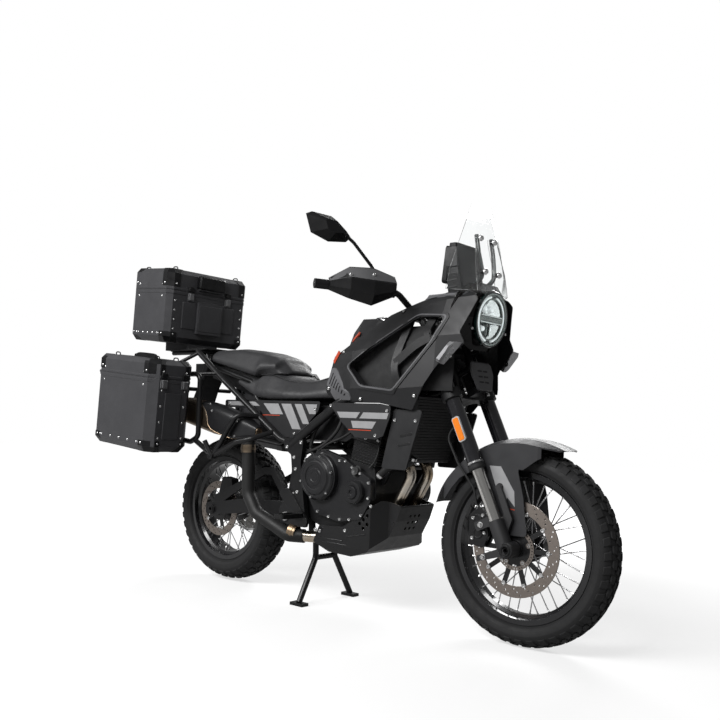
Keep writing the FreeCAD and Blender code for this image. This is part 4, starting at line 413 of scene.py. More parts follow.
def make(name, shape, body, slot, mat, crease=32.0):
    """A piece from a shape in the drawing's millimetres: put in metres, cleaned, and shaded smooth except
    where faces meet at more than the crease angle."""
    points, quads, tris = shape
    mesh = bpy.data.meshes.new(name)
    mesh.from_pydata(((points + (AHEAD, 0, 0)) * 0.001).tolist(), [], quads.tolist() + tris.tolist())
    merged(mesh, 2e-6)
    mesh.polygons.foreach_set("use_smooth", np.ones(len(mesh.polygons), bool))
    mesh.set_sharp_from_angle(angle=math.radians(crease))
    mesh.materials.append(mat)
    return placed(name, mesh, body, slot)


def socket_bolt(radius, height, sides=12):
    """A button head with a socket, turned from its (radius, height) profile."""
    r, h = radius, height
    return turned([(0, 0.45 * h), (0.42 * r, 0.45 * h), (0.46 * r, h), (0.74 * r, h), (r, 0.55 * h),
                   (r, -1.0), (0, -1.0)], sides)


def hex_bolt(radius, height):
    """A flanged six-sided head: a round washer face, and above it six flats with a chamfer at their top."""
    r, h = radius, height
    return joined(turned([(0, 1.2), (r * 1.25, 1.2), (r * 1.3, 0.6), (r * 1.3, -1.0), (0, -1.0)], 14),
                  turned([(0, h * 0.92), (r * 0.5, h * 0.92), (r * 0.62, h), (r * 0.9, h), (r, h * 0.85),
                          (r, 0.5), (0, 0.5)], 6))


def bolts(name, places, normal, head, body):
    """Bolt heads at the places, all facing along normal, or each along its own row of normals."""
    axes = facing(normal)
    make(name, strewn(head, places, axes if len(axes) > 1 else axes[0]), body, "spoke_steel", zinc)


def bolt_pair(name, places, normal, head, body):
    """Bolt heads on the right side, and their mirror images on the left as a piece of their own."""
    bolts(name + "_right", places, normal, head, body)
    bolts(name + "_left", np.array(places) * (1, -1, 1), np.array(normal) * (1, -1, 1), head, body)


def ringed(centre, radius, count, first=0.0):
    """Evenly spaced places on an upright circle: (radius cos t, 0, radius sin t) from the centre, t
    beginning at first degrees."""
    t = np.radians(first + 360 / count * np.arange(count))
    return np.asarray(centre, float) + radius * np.stack([np.cos(t), np.zeros(count), np.sin(t)], -1)


zinc = coat_finish("zinc", (0.62, 0.62, 0.62), 0.28, metal=1.0, grain=500, relief=0.00002, cloud=60, soft=0)
dark_bolt = coat_finish("dark_bolt", (0.05, 0.05, 0.05), 0.35, metal=0.7, grain=500, relief=0.00002,
                        cloud=60, soft=0)
frame_paint = coat_finish("frame_paint", (0.007, 0.007, 0.0075), 0.34, gloss=0.12, grain=420, relief=0.0001,
                          edge_wear_and_highlight=0.10)
dress(frame_paint, "main_frame", "subframe", "pannier_racks", "footpegs", "centre_stand", "side_stand")
cast_paint = coat_finish("cast_paint", (0.008, 0.008, 0.0085), 0.42, grain=700, relief=0.0003, edge_wear_and_highlight=0.12)
dress(cast_paint, "swingarm", "rear_caliper", "front_calipers", "fork_yoke", "handlebar")

# right and left faces of the pivot plates, the beams' lower joints and the hangers
RIGHT = (0, -1, 0)
LEFT = (0, 1, 0)
PIVOT_PLATE_Y = -176.2
side_heads = [(-237, 619), (-196, 580), (-196, 436), (-186, 535), (-65, 312), (-172, 446), (-160, 640)]
bolt_pair("frame_bolts", [(x, PIVOT_PLATE_Y, z) for x, z in side_heads], RIGHT, socket_bolt(7.5, 4.5),
          "chassis")
pivot_cap = turned([(0, 3.5), (7, 3.5), (8.5, 6.5), (16, 6.5), (18.5, 4), (18.5, -2), (0, -2)], 20)
make("pivot_caps", joined(spread(pivot_cap, (-232, -178, 345), RIGHT),
                          spread(pivot_cap, (-232, 178, 345), LEFT)), "chassis", "spoke_steel", zinc)

# ---------------------------------------------------------------- engine
# Parallel twin: cast cases under a black wrinkle paint, covers held by bright screws, a finned barrel, and
# the air box behind the head. Its hoses are black rubber.
engine_paint = coat_finish("engine_paint", (0.0065, 0.0065, 0.007), 0.44, grain=800, relief=0.0003,
                           edge_wear_and_highlight=0.14)
dress(engine_paint, "engine")
cover_paint = coat_finish("cover_paint", (0.010, 0.010, 0.011), 0.38, gloss=0.1, grain=700, relief=0.0002,
                          edge_wear_and_highlight=0.1)
dress(cover_paint, "engine_covers")
hose_rubber = coat_finish("hose_rubber", (0.012, 0.012, 0.012), 0.5, grain=500, relief=0.0002, soft=0,
                          level=0.3)

cover_rim = [(36, 581), (65, 581), (100, 560), (140, 540), (182, 508), (182, 452), (150, 386), (95, 366),
             (47, 362), (-10, 366), (-70, 380), (-118, 442), (-136, 500), (-108, 578), (-56, 602)]
bolts("cover_screws_right", [(x, -164, z) for x, z in cover_rim], RIGHT, socket_bolt(6, 5), "chassis")
left_rim = [(-4, 476), (28, 552), (104, 578), (196, 532), (202, 444), (148, 384), (60, 384)]
bolts("cover_screws_left", [(x, 162, z) for x, z in left_rim], LEFT, socket_bolt(6, 5), "chassis")
bolts("sprocket_cover_screws", [(x, 151, z) for x, z in ((-134, 412), (-128, 488), (-66, 504), (-60, 392))],
      LEFT, socket_bolt(6, 5), "chassis")

clutch_face = np.array([-58.0, -200.0, 514.0])
clutch_profiles = [(0, [(46, 3.2), (51, 4.6), (60, 4.6), (63.5, 3.0), (64, -1), (46, -1)]),
                   (0, [(0, 1.6), (18, 1.6), (20, 3.0), (32, 3.0), (34, 1.2), (45, 1.2), (45, -3), (0, -3)]),
                   (4, [(70, 0), (72, 1.6), (80, 0.2), (86, -6), (86, -9), (70, -9)])]
rings = [spread(turned(profile, 48), clutch_face + (0, back, 0), RIGHT) for back, profile in clutch_profiles]
make("clutch_cover_rings", joined(*rings), "chassis", "engine_black", cover_paint)
bolts("clutch_screws", ringed(clutch_face + (0, 9, 0), 81, 6, 15), RIGHT, socket_bolt(5.5, 8), "chassis")
plug = turned([(0, 3), (9, 3), (10, 7), (22, 7), (25, 4), (26, 0), (26, -3), (0, -3)], 10)
make("timing_plug", spread(plug, (122, -187, 470), RIGHT), "chassis", "engine_black", cover_paint)
filler = turned([(0, 8), (5, 10), (16, 10), (18, 8), (18, 0), (22, 0), (22, -3), (0, -3)], 12)
make("oil_filler", spread(filler, (118, -162, 545), (-0.1, -1, 0.25)), "chassis", "engine_black", dark_bolt)

# ribs of the barrel and the head, on both sides and in front
LEAN = math.radians(12)
barrel_up = np.array([math.sin(LEAN), 0, math.cos(LEAN)])
barrel_ahead = np.array([math.cos(LEAN), 0, -math.sin(LEAN)])
barrel_foot = np.array([112.0, 0, 560.0])


def rib(lift, half_long, half_wide, proud, thick=2.2):
    """A fin round the barrel: the rounded oblong of its plan, carried as a closed path with a tapered
    blade. Each corner of the plan is three points, mirrored from the first corner in turn."""
    a, b, cut = half_long, half_wide, 10
    corner = np.array([(a - cut, -b), (a - cut * 0.3, -b + cut * 0.3), (a, -b + cut)])
    plan = np.concatenate([corner, corner[::-1] * (1, -1), corner * -1, corner[::-1] * (-1, 1)])
    outer = inset(plan, -proud)
    rows = []
    for flat, rise in ((plan, -thick), (outer, -thick * 0.5), (outer, thick * 0.5), (plan, thick)):
        rows.append(barrel_foot + barrel_ahead * (1 + flat[:, :1]) + np.array([0, 1.0, 0]) * flat[:, 1:]
                    + barrel_up * (lift + rise))
    return grid(np.stack(rows), around=True, along=True)


fins = [rib(14 + 10.5 * i, 60, 123.5, 7) for i in range(8)]
make("barrel_fins", joined(*fins), "chassis", "engine_black", engine_paint, crease=50)
head_edge = [rib(101, 71, 133.5, 3, 3), rib(168, 71, 133.5, 3, 3)]
make("head_flanges", joined(*head_edge), "chassis", "engine_black", engine_paint, crease=50)
head_screws = [barrel_foot + barrel_ahead * a + barrel_up * s + (0, -134, 0)
               for a, s in ((-60, 118), (60, 118), (-56, 154), (56, 154), (0, 112))]
bolts("head_screws", head_screws, RIGHT, socket_bolt(6.5, 5), "chassis")
bolts("head_screws_left", [p * (1, -1, 1) for p in head_screws], LEFT, socket_bolt(6.5, 5), "chassis")
top_screws = [barrel_foot + barrel_ahead * a + barrel_up * 206 + (0, y, 0)
              for a, y in ((-48, -108), (48, -108), (-48, 108), (48, 108), (-48, 0), (48, 0))]
bolts("top_screws", top_screws, tuple(barrel_up), hex_bolt(6, 8), "chassis")
coil = turned([(0, 18), (10, 18), (12, 15), (12, 4), (16, 3), (16, -3), (0, -3)], 16)
make("coil_caps", strewn(coil, [barrel_foot + barrel_up * 206 + (0, y, 0) for y in (-60, 60)],
                         facing([barrel_up])[0]), "chassis", "rubber_black", hose_rubber)

# water hoses right and left, breather, clutch line, loom and sensor line: fixed hoses, each with its radius
lines = [([(352, -128, 612), (330, -128, 588), (286, -134, 580), (240, -140, 560), (206, -138, 530)], 13),
         ([(376, 128, 800), (352, 128, 818), (300, 118, 800), (240, 90, 780), (196, 70, 752)], 14),
         ([(-30, -112, 760), (-70, -134, 740), (-120, -140, 690), (-140, -142, 620), (-120, -146, 596)], 8),
         ([(-96, -150, 606), (-40, -150, 640), (30, -146, 668), (90, -142, 700), (180, -132, 740)], 5),
         ([(-240, -146, 640), (-180, -148, 600), (-120, -150, 612), (-60, -148, 640), (0, -140, 700),
           (20, -128, 780)], 7),
         ([(178, -126, 690), (200, -134, 640), (190, -142, 590), (170, -150, 560)], 3.5)]
tubes = [swept(flowing(points, 10), round_outline(radius, 12)) for points, radius in lines]
make("engine_hoses", joined(*tubes), "chassis", "rubber_black", hose_rubber, crease=60)
clip_places = [((352, -128, 606), (0.5, 0, 1), 14.2), ((214, -138.5, 538), (0.6, 0, 0.6), 14.2),
               ((374, 128, 803), (0.3, 0, 1), 15.2), ((204, 73, 756), (1, 0.4, 0.5), 15.2)]
clips = [spread(turned([(r - 1, -5), (r + 0.6, -5), (r + 0.6, 5), (r - 1, 5), (r - 1, -5)], 20), place, axis)
         for place, axis, r in clip_places]
make("hose_clips", joined(*clips), "chassis", "spoke_steel", zinc)

# ---------------------------------------------------------------- exhaust and sump guard
# Two brushed stainless headers with heat tint join under the engine; a black pipe climbs to the silencer,
# whose brushed shell carries a dark heat shield with a bright cut edge. The sump guard is a folded plate.


def heat_finish(name, color, warm, rough, cloud):
    """Brushed steel that drifts between its own colour and a warm heat tint in long clouds."""
    mat, tree, skin, place = finish_tree(name, color, rough, 1.0, 0.0, 0.5)
    clouds = speckled(tree, place, cloud, 3.0)
    drift = added(tree, "MapRange", {"Value": clouds, "From Min": 0.35, "From Max": 0.65})
    stretch = added(tree, "Mapping", {"Vector": place, "Scale": (30, 600, 600)})
    brush = speckled(tree, stretch, 1.0, 3.0)
    matt = added(tree, "MapRange", {"Value": brush, "To Min": rough - 0.08, "To Max": rough + 0.1})
    feed(tree, skin, {"Base Color": tinted(tree, drift, color, warm), "Roughness": matt,
                      "Normal": bumped(tree, brush, 0.2, 0.00005)})
    return mat


header_steel = heat_finish("header_steel", (0.58, 0.54, 0.48), (0.50, 0.38, 0.25), 0.22, 9.0)
dress(header_steel, "exhaust_headers")
pipe_paint = coat_finish("pipe_paint", (0.012, 0.012, 0.012), 0.5, grain=500, soft=0)
dress(pipe_paint, "exhaust_pipe")
muffler_steel = heat_finish("muffler_steel", (0.30, 0.26, 0.21), (0.30, 0.215, 0.14), 0.36, 6.0)
dress(muffler_steel, "muffler")
ports = [barrel_foot + barrel_up * 126 + barrel_ahead * 84.5 + (0, y, 0) for y in (52, -52)]
port_nuts = [port + (0, y, 0) - barrel_ahead * 0.5 for port in ports for y in (-24, 24)]
bolts("port_nuts", port_nuts, tuple(barrel_ahead), hex_bolt(5, 7), "chassis")
joint = turned([(27, -16), (29.5, -16), (29.5, -6), (31, -5), (31, 5), (29.5, 6), (29.5, 16), (27, 16),
                (27, -16)], 28)
joint_places = [((-196, -164, 288), (-0.88, -0.26, 0.2)), ((-446, -194, 602), (-0.04, 0, 1))]
make("pipe_bands", joined(*[spread(joint, p, a) for p, a in joint_places]), "chassis", "header_steel",
     muffler_steel)

MUFFLER_FRONT = np.array([-384.0, -194.0, 668.0])
muffler_axis = np.array([-0.982, -0.02, 0.19])
muffler_axis /= np.linalg.norm(muffler_axis)
muffler_side = np.array([0, 1.0, 0]) - muffler_axis * muffler_axis[1]
muffler_side /= np.linalg.norm(muffler_side)
muffler_up = np.cross(muffler_axis, muffler_side)
muffler_up *= math.copysign(1, muffler_up[2])


def muffler_ring(d, grow, angles):
    """Points on the silencer's rounded-oblong section at distance d, grown outward: a superellipse of power
    4."""
    half_w = np.interp(d, [0, 60, 130, 240, 450], [16, 34, 42, 47, 47]) + grow
    half_h = np.interp(d, [0, 60, 130, 240, 450], [18, 36, 52, 60, 54]) + grow
    c, s = np.cos(angles), np.sin(angles)
    w = half_w * np.sign(c) * np.abs(c) ** 0.5
    h = half_h * np.sign(s) * np.abs(s) ** 0.5
    return MUFFLER_FRONT + muffler_axis * d - muffler_side * w[:, None] + muffler_up * h[:, None]


def shield_rows(grow):
    """The heat shield's surface: rows along the silencer from d 3 to 330. They reach far round it in front,
    and their lower edge climbs toward the tail."""
    rows = []
    for d in np.linspace(3, 330, 30):
        low = np.interp(d, [3, 66, 140, 240, 330], [-140, -95, -58, -22, 40])
        rows.append(muffler_ring(d, grow, np.radians(np.linspace(low, 112, 22))))
    return np.stack(rows)


shield_paint = coat_finish("shield_paint", (0.011, 0.011, 0.012), 0.40, gloss=0.1, grain=900, relief=0.00005,
                           soft=0)
outer_rows, inner_rows = shield_rows(4.0), shield_rows(0.6)
make("muffler_shield", grid(np.concatenate([outer_rows, inner_rows[:, ::-1]], 1), around=True), "chassis",
     "pipe_black", shield_paint)
make("muffler_shield_edge", swept(outer_rows[:, 0], round_outline(2.0, 8)), "chassis", "muffler_steel",
     muffler_steel)
tail_ring = turned([(20, -2), (24, -2), (24, 3), (21.5, 5), (20, 4), (20, -2)], 28)
tail_bore = turned([(0, 0), (20.5, 0), (20.5, 4), (19.5, 4), (19, 1), (0, 1)], 28)
make("muffler_tip", spread(tail_ring, MUFFLER_FRONT + muffler_axis * 468, muffler_axis), "chassis",
     "muffler_steel", zinc)
make("muffler_bore", spread(tail_bore, MUFFLER_FRONT + muffler_axis * 464, muffler_axis), "chassis",
     "pipe_black", pipe_paint)
shield_spots = ((96, 20), (100, -34), (285, 62), (250, 20))
shield_heads = [muffler_ring(d, 4.0, np.radians([a]))[0] for d, a in shield_spots]
bolts("shield_screws", shield_heads, (0, -1, 0.1), socket_bolt(6, 4), "chassis")

dress(frame_paint, "skid_plate")
skid_heads = [(-58, -160, 306), (72, -160, 322), (192, -158, 424)]
bolt_pair("skid_screws", skid_heads, RIGHT, socket_bolt(7, 4.5), "chassis")
pressings = [swept(np.linspace((x0, -160, z0), (x1, -160, z1), 8), round_outline(2.4, 8))
             for x0, z0, x1, z1 in ((-60, 282, 60, 282), (-40, 268, 80, 268), (80, 300, 170, 318))]
make("skid_ribs", both(joined(*pressings)), "chassis", "frame_black", frame_paint)

# ---------------------------------------------------------------- radiator
# Aluminium core painted black between two tanks, with flat tubes across it and folded fins between them.
# Its moulded side guards are held by screws and carry two pressings each.
dress(cast_paint, "radiator", "shock")
guard_paint = coat_finish("guard_paint", (0.016, 0.016, 0.017), 0.42, grain=900, relief=0.0001, soft=0.001)
dress(guard_paint, "radiator_guards")
RAD_LOW, RAD_TOP = np.array([318.0, 0, 586.0]), np.array([384.0, 0, 826.0])
rad_up = (RAD_TOP - RAD_LOW) / np.linalg.norm(RAD_TOP - RAD_LOW)
rad_ahead = np.array([rad_up[2], 0, -rad_up[0]])


def fin_finish():
    """Folded fins: a fine wave across the core in relief, and in colour as painted shade in the folds and
    painted highlight on their crests.
    """
    mat, tree, skin, place = finish_tree("fin_finish", (0.05, 0.05, 0.05), 0.5, 0.6, 0.0, 0.5)
    fold_shade_wave = added(tree, "TexWave", {"Vector": place, "Scale": 130, "Distortion": 0.4}, "Fac",
                  bands_direction="Y")
    # Painted light: the fins' colour is dark in the folds and paler on the crests.
    feed(tree, skin, {"Base Color": tinted(tree, fold_shade_wave, (0.004, 0.004, 0.004), (0.07, 0.07, 0.07)),
                      "Normal": bumped(tree, fold_shade_wave, 0.8, 0.001)})
    return mat


CORE_HALF = 141.0     # half the core's width, between the two tanks
GUARD_Y = -174.0      # right guard's outer face
fins_sheet = grid(np.array([[RAD_LOW + rad_up * s - rad_ahead * 3.6 + (0, y, 0) for s in (4, 244)]
                            for y in (-CORE_HALF, CORE_HALF)]))
make("radiator_fins", fins_sheet, "chassis", "radiator_black", fin_finish())
core_lines = [RAD_LOW + rad_up * s - rad_ahead * 3.4 + np.array([(0, -CORE_HALF, 0), (0, CORE_HALF, 0)])
              for s in np.linspace(12, 237, 22)]
core_tubes = [swept(line, lozenge(1.5, 1.1, 2.4), spin=rad_up) for line in core_lines]
make("radiator_tubes", joined(*core_tubes), "chassis", "radiator_black", cast_paint)
bolt_pair("guard_screws", [(300, GUARD_Y, 740), (392, GUARD_Y, 740)], RIGHT, socket_bolt(7, 4.5), "chassis")
slots = [plate(lozenge(26, 5, 30), 1.6, (352 - 8 * k, GUARD_Y, 690 - 34 * k), (0.98, 0, 0.2),
               (-0.2, 0, 0.98), bevel=1.2) for k in range(2)]
make("guard_pressings", both(joined(*slots)), "chassis", "plastic_black", cast_paint)

# ---------------------------------------------------------------- wheels
# Laced wheels: black lacquered alloy rims, bright steel spokes in brass nipples, forged hubs, drilled discs
# on black carriers with steel bobbins, and block-tread tyres with moulded sidewall rings.
FRONT_AXLE = np.array([743.5, 0.0, 332.0])
REAR_AXLE = np.array([-743.5, 0.0, 323.0])
GROOVE = 7.5      # depth of the tread


def arc(start, middle, stop, count):
    """Points along the circle through three points of a plane, from start to stop."""
    (ax, ay), (bx, by), (cx, cy) = start, middle, stop
    d = 2 * (ax * (by - cy) + bx * (cy - ay) + cx * (ay - by))
    ux = ((ax * ax + ay * ay) * (by - cy) + (bx * bx + by * by) * (cy - ay)
          + (cx * cx + cy * cy) * (ay - by)) / d
    uy = ((ax * ax + ay * ay) * (cx - bx) + (bx * bx + by * by) * (ax - cx)
          + (cx * cx + cy * cy) * (bx - ax)) / d
    turns = [math.atan2(y - uy, x - ux) for x, y in (start, middle, stop)]
    first, mid, last = np.unwrap(turns)
    t = np.linspace(first, last, count)
    radius = math.hypot(ax - ux, ay - uy)
    return np.stack([ux + radius * np.cos(t), uy + radius * np.sin(t)], -1)


def round_axle(profile, axle, sides):
    """A profile of (y, radius) turned about the wheel's axle."""
    profile = np.asarray(profile, float)
    t = np.linspace(0, 2 * math.pi, sides, endpoint=False)
    x = profile[:, None, 1] * np.cos(t)
    z = profile[:, None, 1] * np.sin(t)
    y = np.broadcast_to(profile[:, None, 0], x.shape)
    return grid(np.stack([x, y, z], -1) + axle, around=True, along=True)


def carcass(axle, tyre_r, tyre_w, bead_r, rim_w):
    """Tyre body below the blocks: bead, a belly arc with two raised rings, and the grooves' floor."""
    half, seat, tall = tyre_w / 2, rim_w / 2, tyre_r - bead_r
    flange = bead_r + 13
    shoulder = (half * 0.9 - 2, tyre_r - 0.27 * tall - 3)
    belly = arc((seat + 7, flange + 3), (half - 0.6, bead_r + 0.5 * tall), shoulder, 25)
    out = belly - (0, bead_r + 0.5 * tall)
    out /= np.linalg.norm(out, axis=1, keepdims=True)
    ribs = np.zeros(25)
    ribs[[2, 3]] = 1.8
    ribs[[8, 9]] = 0.7
    ribs[[15, 16, 17]] = 0.5
    belly = belly + out * ribs[:, None] * (1, 0.2)
    crown = arc(shoulder, (0, tyre_r - GROOVE), (-shoulder[0], shoulder[1]), 21)[1:-1]
    left = np.concatenate([[(seat, bead_r + 1), (seat, flange)], belly])
    profile = np.concatenate([left, crown, left[::-1] * (-1, 1)])
    return round_axle(profile, axle, 180)


def tread(axle, tyre_r, tyre_w, bead_r, pitches, columns):
    """Tread blocks. Each is a seven by seven grid whose height rises in two steps from its foot to its
    face; it is laid on the crown's arc across the tyre and on the tyre's circle along it. A column is given
    by its edges across (degrees of the crown arc), its length and shift in pitches, and its slant."""
    tall, half = tyre_r - bead_r, tyre_w / 2
    rise = 0.27 * tall
    crown_r = (rise ** 2 + (0.9 * half) ** 2) / (2 * rise)
    centre = tyre_r - crown_r
    station = np.array([0, 0.07, 0.14, 0.5, 0.86, 0.93, 1])
    height = np.array([-0.15, 0.82, 0.98, 1.0, 0.98, 0.82, -0.15])
    tops = np.minimum(height[:, None], height[None])
    pitch = 2 * math.pi / pitches
    blocks = []
    for low, high, length, shift, slant in columns:
        across = np.radians(low + (high - low) * station)[:, None]
        along = (length * station[None] + shift + slant * (station[:, None] - 0.5)) * pitch
        r = crown_r - GROOVE * (1 - tops)
        y = r * np.sin(across)
        reach = centre + r * np.cos(across)
        turn = along[None] + np.arange(pitches)[:, None, None] * pitch
        points = np.stack([reach * np.cos(turn), np.broadcast_to(y, turn.shape), reach * np.sin(turn)], -1)
        quads = grid(points[0])[1] + (np.arange(pitches) * station.size ** 2)[:, None, None]
        blocks.append((points.reshape(-1, 3) + axle, quads.reshape(-1, 4), np.zeros((0, 3), int)))
    return joined(*blocks)


rubber = coat_finish("rubber", (0.013, 0.013, 0.0135), 0.70, grain=420, relief=0.0003, cloud=14, soft=0,
                     level=0.3)
front_columns = [(-60, -34, 0.66, 0.0, 0.10), (-31, -14.5, 0.60, 0.42, -0.12),
                 (-12.5, -1.2, 0.56, 0.02, -0.22), (1.2, 12.5, 0.56, 0.52, 0.22),
                 (14.5, 31, 0.60, 0.92, 0.12), (34, 60, 0.66, 0.5, -0.10)]
rear_columns = [(-50, -30, 0.66, 0.0, 0.08), (-27.5, -13, 0.62, 0.45, -0.14), (-11, -0.9, 0.58, 0.0, -0.2),
                (0.9, 11, 0.58, 0.5, 0.2), (13, 27.5, 0.62, 0.95, 0.14), (30, 50, 0.66, 0.5, -0.08)]
for body, axle, size, pitches, columns in (
        ("front_wheel", FRONT_AXLE, (332, 112, 241.3, 64), 44, front_columns),
        ("rear_wheel", REAR_AXLE, (318, 155, 215.9, 108), 40, rear_columns)):
    end = body.split("_")[0]
    casing = make(end + "_tyre_casing", carcass(axle, *size), body, "tyre_rubber", rubber)
    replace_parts(casing, end + "_tyre")
    make(end + "_tread_blocks", tread(axle, *size[:3], pitches, columns), body, "tyre_rubber", rubber,
         crease=25)

rim_lacquer = coat_finish("rim_lacquer", (0.010, 0.010, 0.011), 0.2, gloss=0.7, relief=0.00002, soft=0.0008)
dress(rim_lacquer, "front_rim", "rear_rim")
hub_paint = coat_finish("hub_paint", (0.007, 0.007, 0.0075), 0.34, gloss=0.3, relief=0.00005, soft=0.0008)
dress(hub_paint, "front_hub", "rear_hub")
spoke_steel = coat_finish("spoke_steel", (0.62, 0.62, 0.63), 0.26, metal=1.0, relief=0.00002, soft=0)
dress(spoke_steel, "front_spokes", "rear_spokes")


def disc_finish(name, axle, color, rough):
    """Ground steel: fine rings round the axle in colour and relief."""
    mat, tree, skin, place = finish_tree(name, color, rough, 1.0, 0.0, 0.5)
    to_axle = (-(axle[0] + AHEAD) / 1000, 0, -axle[2] / 1000)
    centre = added(tree, "Mapping", {"Vector": place, "Location": to_axle})
    rings = added(tree, "TexWave", {"Vector": centre, "Scale": 260, "Distortion": 1.2}, "Fac",
                  wave_type="RINGS", rings_direction="Y")
    feed(tree, skin, {"Base Color": tinted(tree, rings, shaded(color, 0.8), shaded(color, 1.15)),
                      "Normal": bumped(tree, rings, 0.25, 0.00003)})
    return mat


dress(disc_finish("front_disc_steel", FRONT_AXLE, (0.27, 0.235, 0.21), 0.38), "front_discs")
dress(disc_finish("rear_disc_steel", REAR_AXLE, (0.27, 0.235, 0.21), 0.38), "rear_disc")
dress(disc_finish("sprocket_steel", REAR_AXLE, (0.30, 0.29, 0.28), 0.34), "rear_sprocket")


SPOKES = 36
CROSSING_GAP = 3.2    # crossing spokes pass this far either side of the middle
RIM_DROP = 14.0       # depth of the rim's well below its bead seat


def spoke_line(axle, i, flange_r, flange_y, bead_r):
    """Both ends of spoke i: its hub end on the flange, its rim end on the drop of the rim. Sides alternate,
    and pairs lean forward and back in turn."""
    side = 1 if i % 2 else -1
    lean = 1 if (i // 2) % 2 else -1
    at_rim = math.radians((i + 0.5) * 360 / SPOKES)
    at_hub = at_rim + lean * math.radians(45)
    aside = lean * CROSSING_GAP
    foot, seat = flange_r - 6, bead_r - RIM_DROP
    hub_end = axle + (foot * math.cos(at_hub), side * (flange_y + aside), foot * math.sin(at_hub))
    rim_end = axle + (seat * math.cos(at_rim), side * (5 + aside), seat * math.sin(at_rim))
    return hub_end, rim_end


nipple = turned([(0, 0), (2.9, 0), (3.4, 1.2), (3.4, 4), (2.7, 6), (2.7, 13), (0, 13)], 8)
elbow = turned([(0, 2.4), (2.6, 2.2), (3.8, 0.8), (3.8, -2), (0, -2)], 8)
for body, axle, flange_r, flange_y, bead_r in (("front_wheel", FRONT_AXLE, 52, 30, 241.3),
                                               ("rear_wheel", REAR_AXLE, 60, 40, 215.9)):
    lines = [spoke_line(axle, i, flange_r, flange_y, bead_r) for i in range(SPOKES)]
    hub_ends, rim_ends = np.array(lines).transpose(1, 0, 2)
    towards = hub_ends - rim_ends
    towards /= np.linalg.norm(towards, axis=1, keepdims=True)
    tag = body.split("_")[0]
    make(tag + "_nipples", strewn(nipple, rim_ends + towards * 3.5, facing(towards)), body, "spoke_steel",
         zinc)
    out = np.where(hub_ends[:, 1:2] > 0, [[0, 1.0, 0]], [[0, -1.0, 0]])
    heads = hub_ends * (1, 0, 1) + out * (flange_y + 6)
    make(tag + "_spoke_heads", strewn(elbow, heads, facing(out)), body, "spoke_steel", spoke_steel)
    stem = turned([(0, 0), (4.5, 0), (4.5, 3), (2.6, 5), (2.6, 26), (3.8, 27), (3.8, 34), (0, 35)], 10)
    top = axle + (0, 0, bead_r - 18)
    make(tag + "_valve", spread(stem, top, (0, 0.35, -1)), body, "rubber_black", rubber)

bobbin = turned([(0, 1.0), (3.4, 1.0), (3.8, 3.2), (6.8, 3.2), (7.6, 2.2), (7.6, -7.2), (0, -7.2)], 14)
for body, axle, y, r, count in (("front_wheel", FRONT_AXLE, -70.5, 121.5, 10),
                                ("rear_wheel", REAR_AXLE, -90.5, 87.5, 5)):
    make(body.split("_")[0] + "_bobbins", strewn(bobbin, ringed(axle + (0, y, 0), r, count),
                                                 facing([RIGHT])[0]), body, "disc_steel", zinc)
bolts("front_disc_bolts", ringed(FRONT_AXLE + (0, -71, 0), 52, 5, 18), RIGHT, socket_bolt(6.5, 3.6),
      "front_wheel")
bolts("sprocket_bolts", ringed(REAR_AXLE + (0, 98.5, 0), 44, 6, 30), LEFT, hex_bolt(6.5, 7), "rear_wheel")
TEETH = 44
tooth = grid(np.array([[(-4.2, -3, z), (-2.6, 0, z), (-1.2, 5.0, z), (1.2, 5.0, z), (2.6, 0, z),
                        (4.2, -3, z)] for z in (-2.6, 2.6)]))
tooth = joined(tooth, grid(np.array([[(-4.2, -3, z), (4.2, -3, z)] for z in (-2.6, 2.6)])),
               *[grid(np.array([[(-4.2, -3, z), (-2.6, 0, z), (-1.2, 5.0, z)],
                                [(4.2, -3, z), (2.6, 0, z), (1.2, 5.0, z)]])) for z in (-2.6, 2.6)])
radial = ringed((0, 0, 0), 1, TEETH)
sideways = np.broadcast_to([0.0, 1.0, 0.0], radial.shape)
make("sprocket_teeth", strewn(tooth, REAR_AXLE + radial * 100 + (0, 95, 0),
                              np.stack([np.cross(radial, sideways), radial, sideways], 1)),
     "rear_wheel", "disc_steel", zinc)

# ---------------------------------------------------------------- fork
# Right-way-up telescopic fork held in two forged crowns: gloss black outer tubes above, hard-chromed inner
# tubes below them, and cast feet that clamp the axle and carry the caliper and the fender's brackets.
STEER_BASE = np.array([470.3, 0.0, 805.0])
STEER_UP = np.array([-0.4305, 0.0, 0.9026])
STEER_AHEAD = np.array([0.9026, 0.0, 0.4305])
LEG_AHEAD = 32.0      # the legs stand this far ahead of the steering axis
LEG_Y = 108.0


def steer(s, ahead=0.0, y=0.0):
    """A point s up the steering axis, ahead of it and y to the left."""
    return STEER_BASE + STEER_UP * s + STEER_AHEAD * ahead + np.array([0, y, 0])


tube_gloss = coat_finish("tube_gloss", (0.010, 0.010, 0.012), 0.16, gloss=0.8, relief=0.00002, soft=0)
dress(tube_gloss, "fork_outer_tubes")


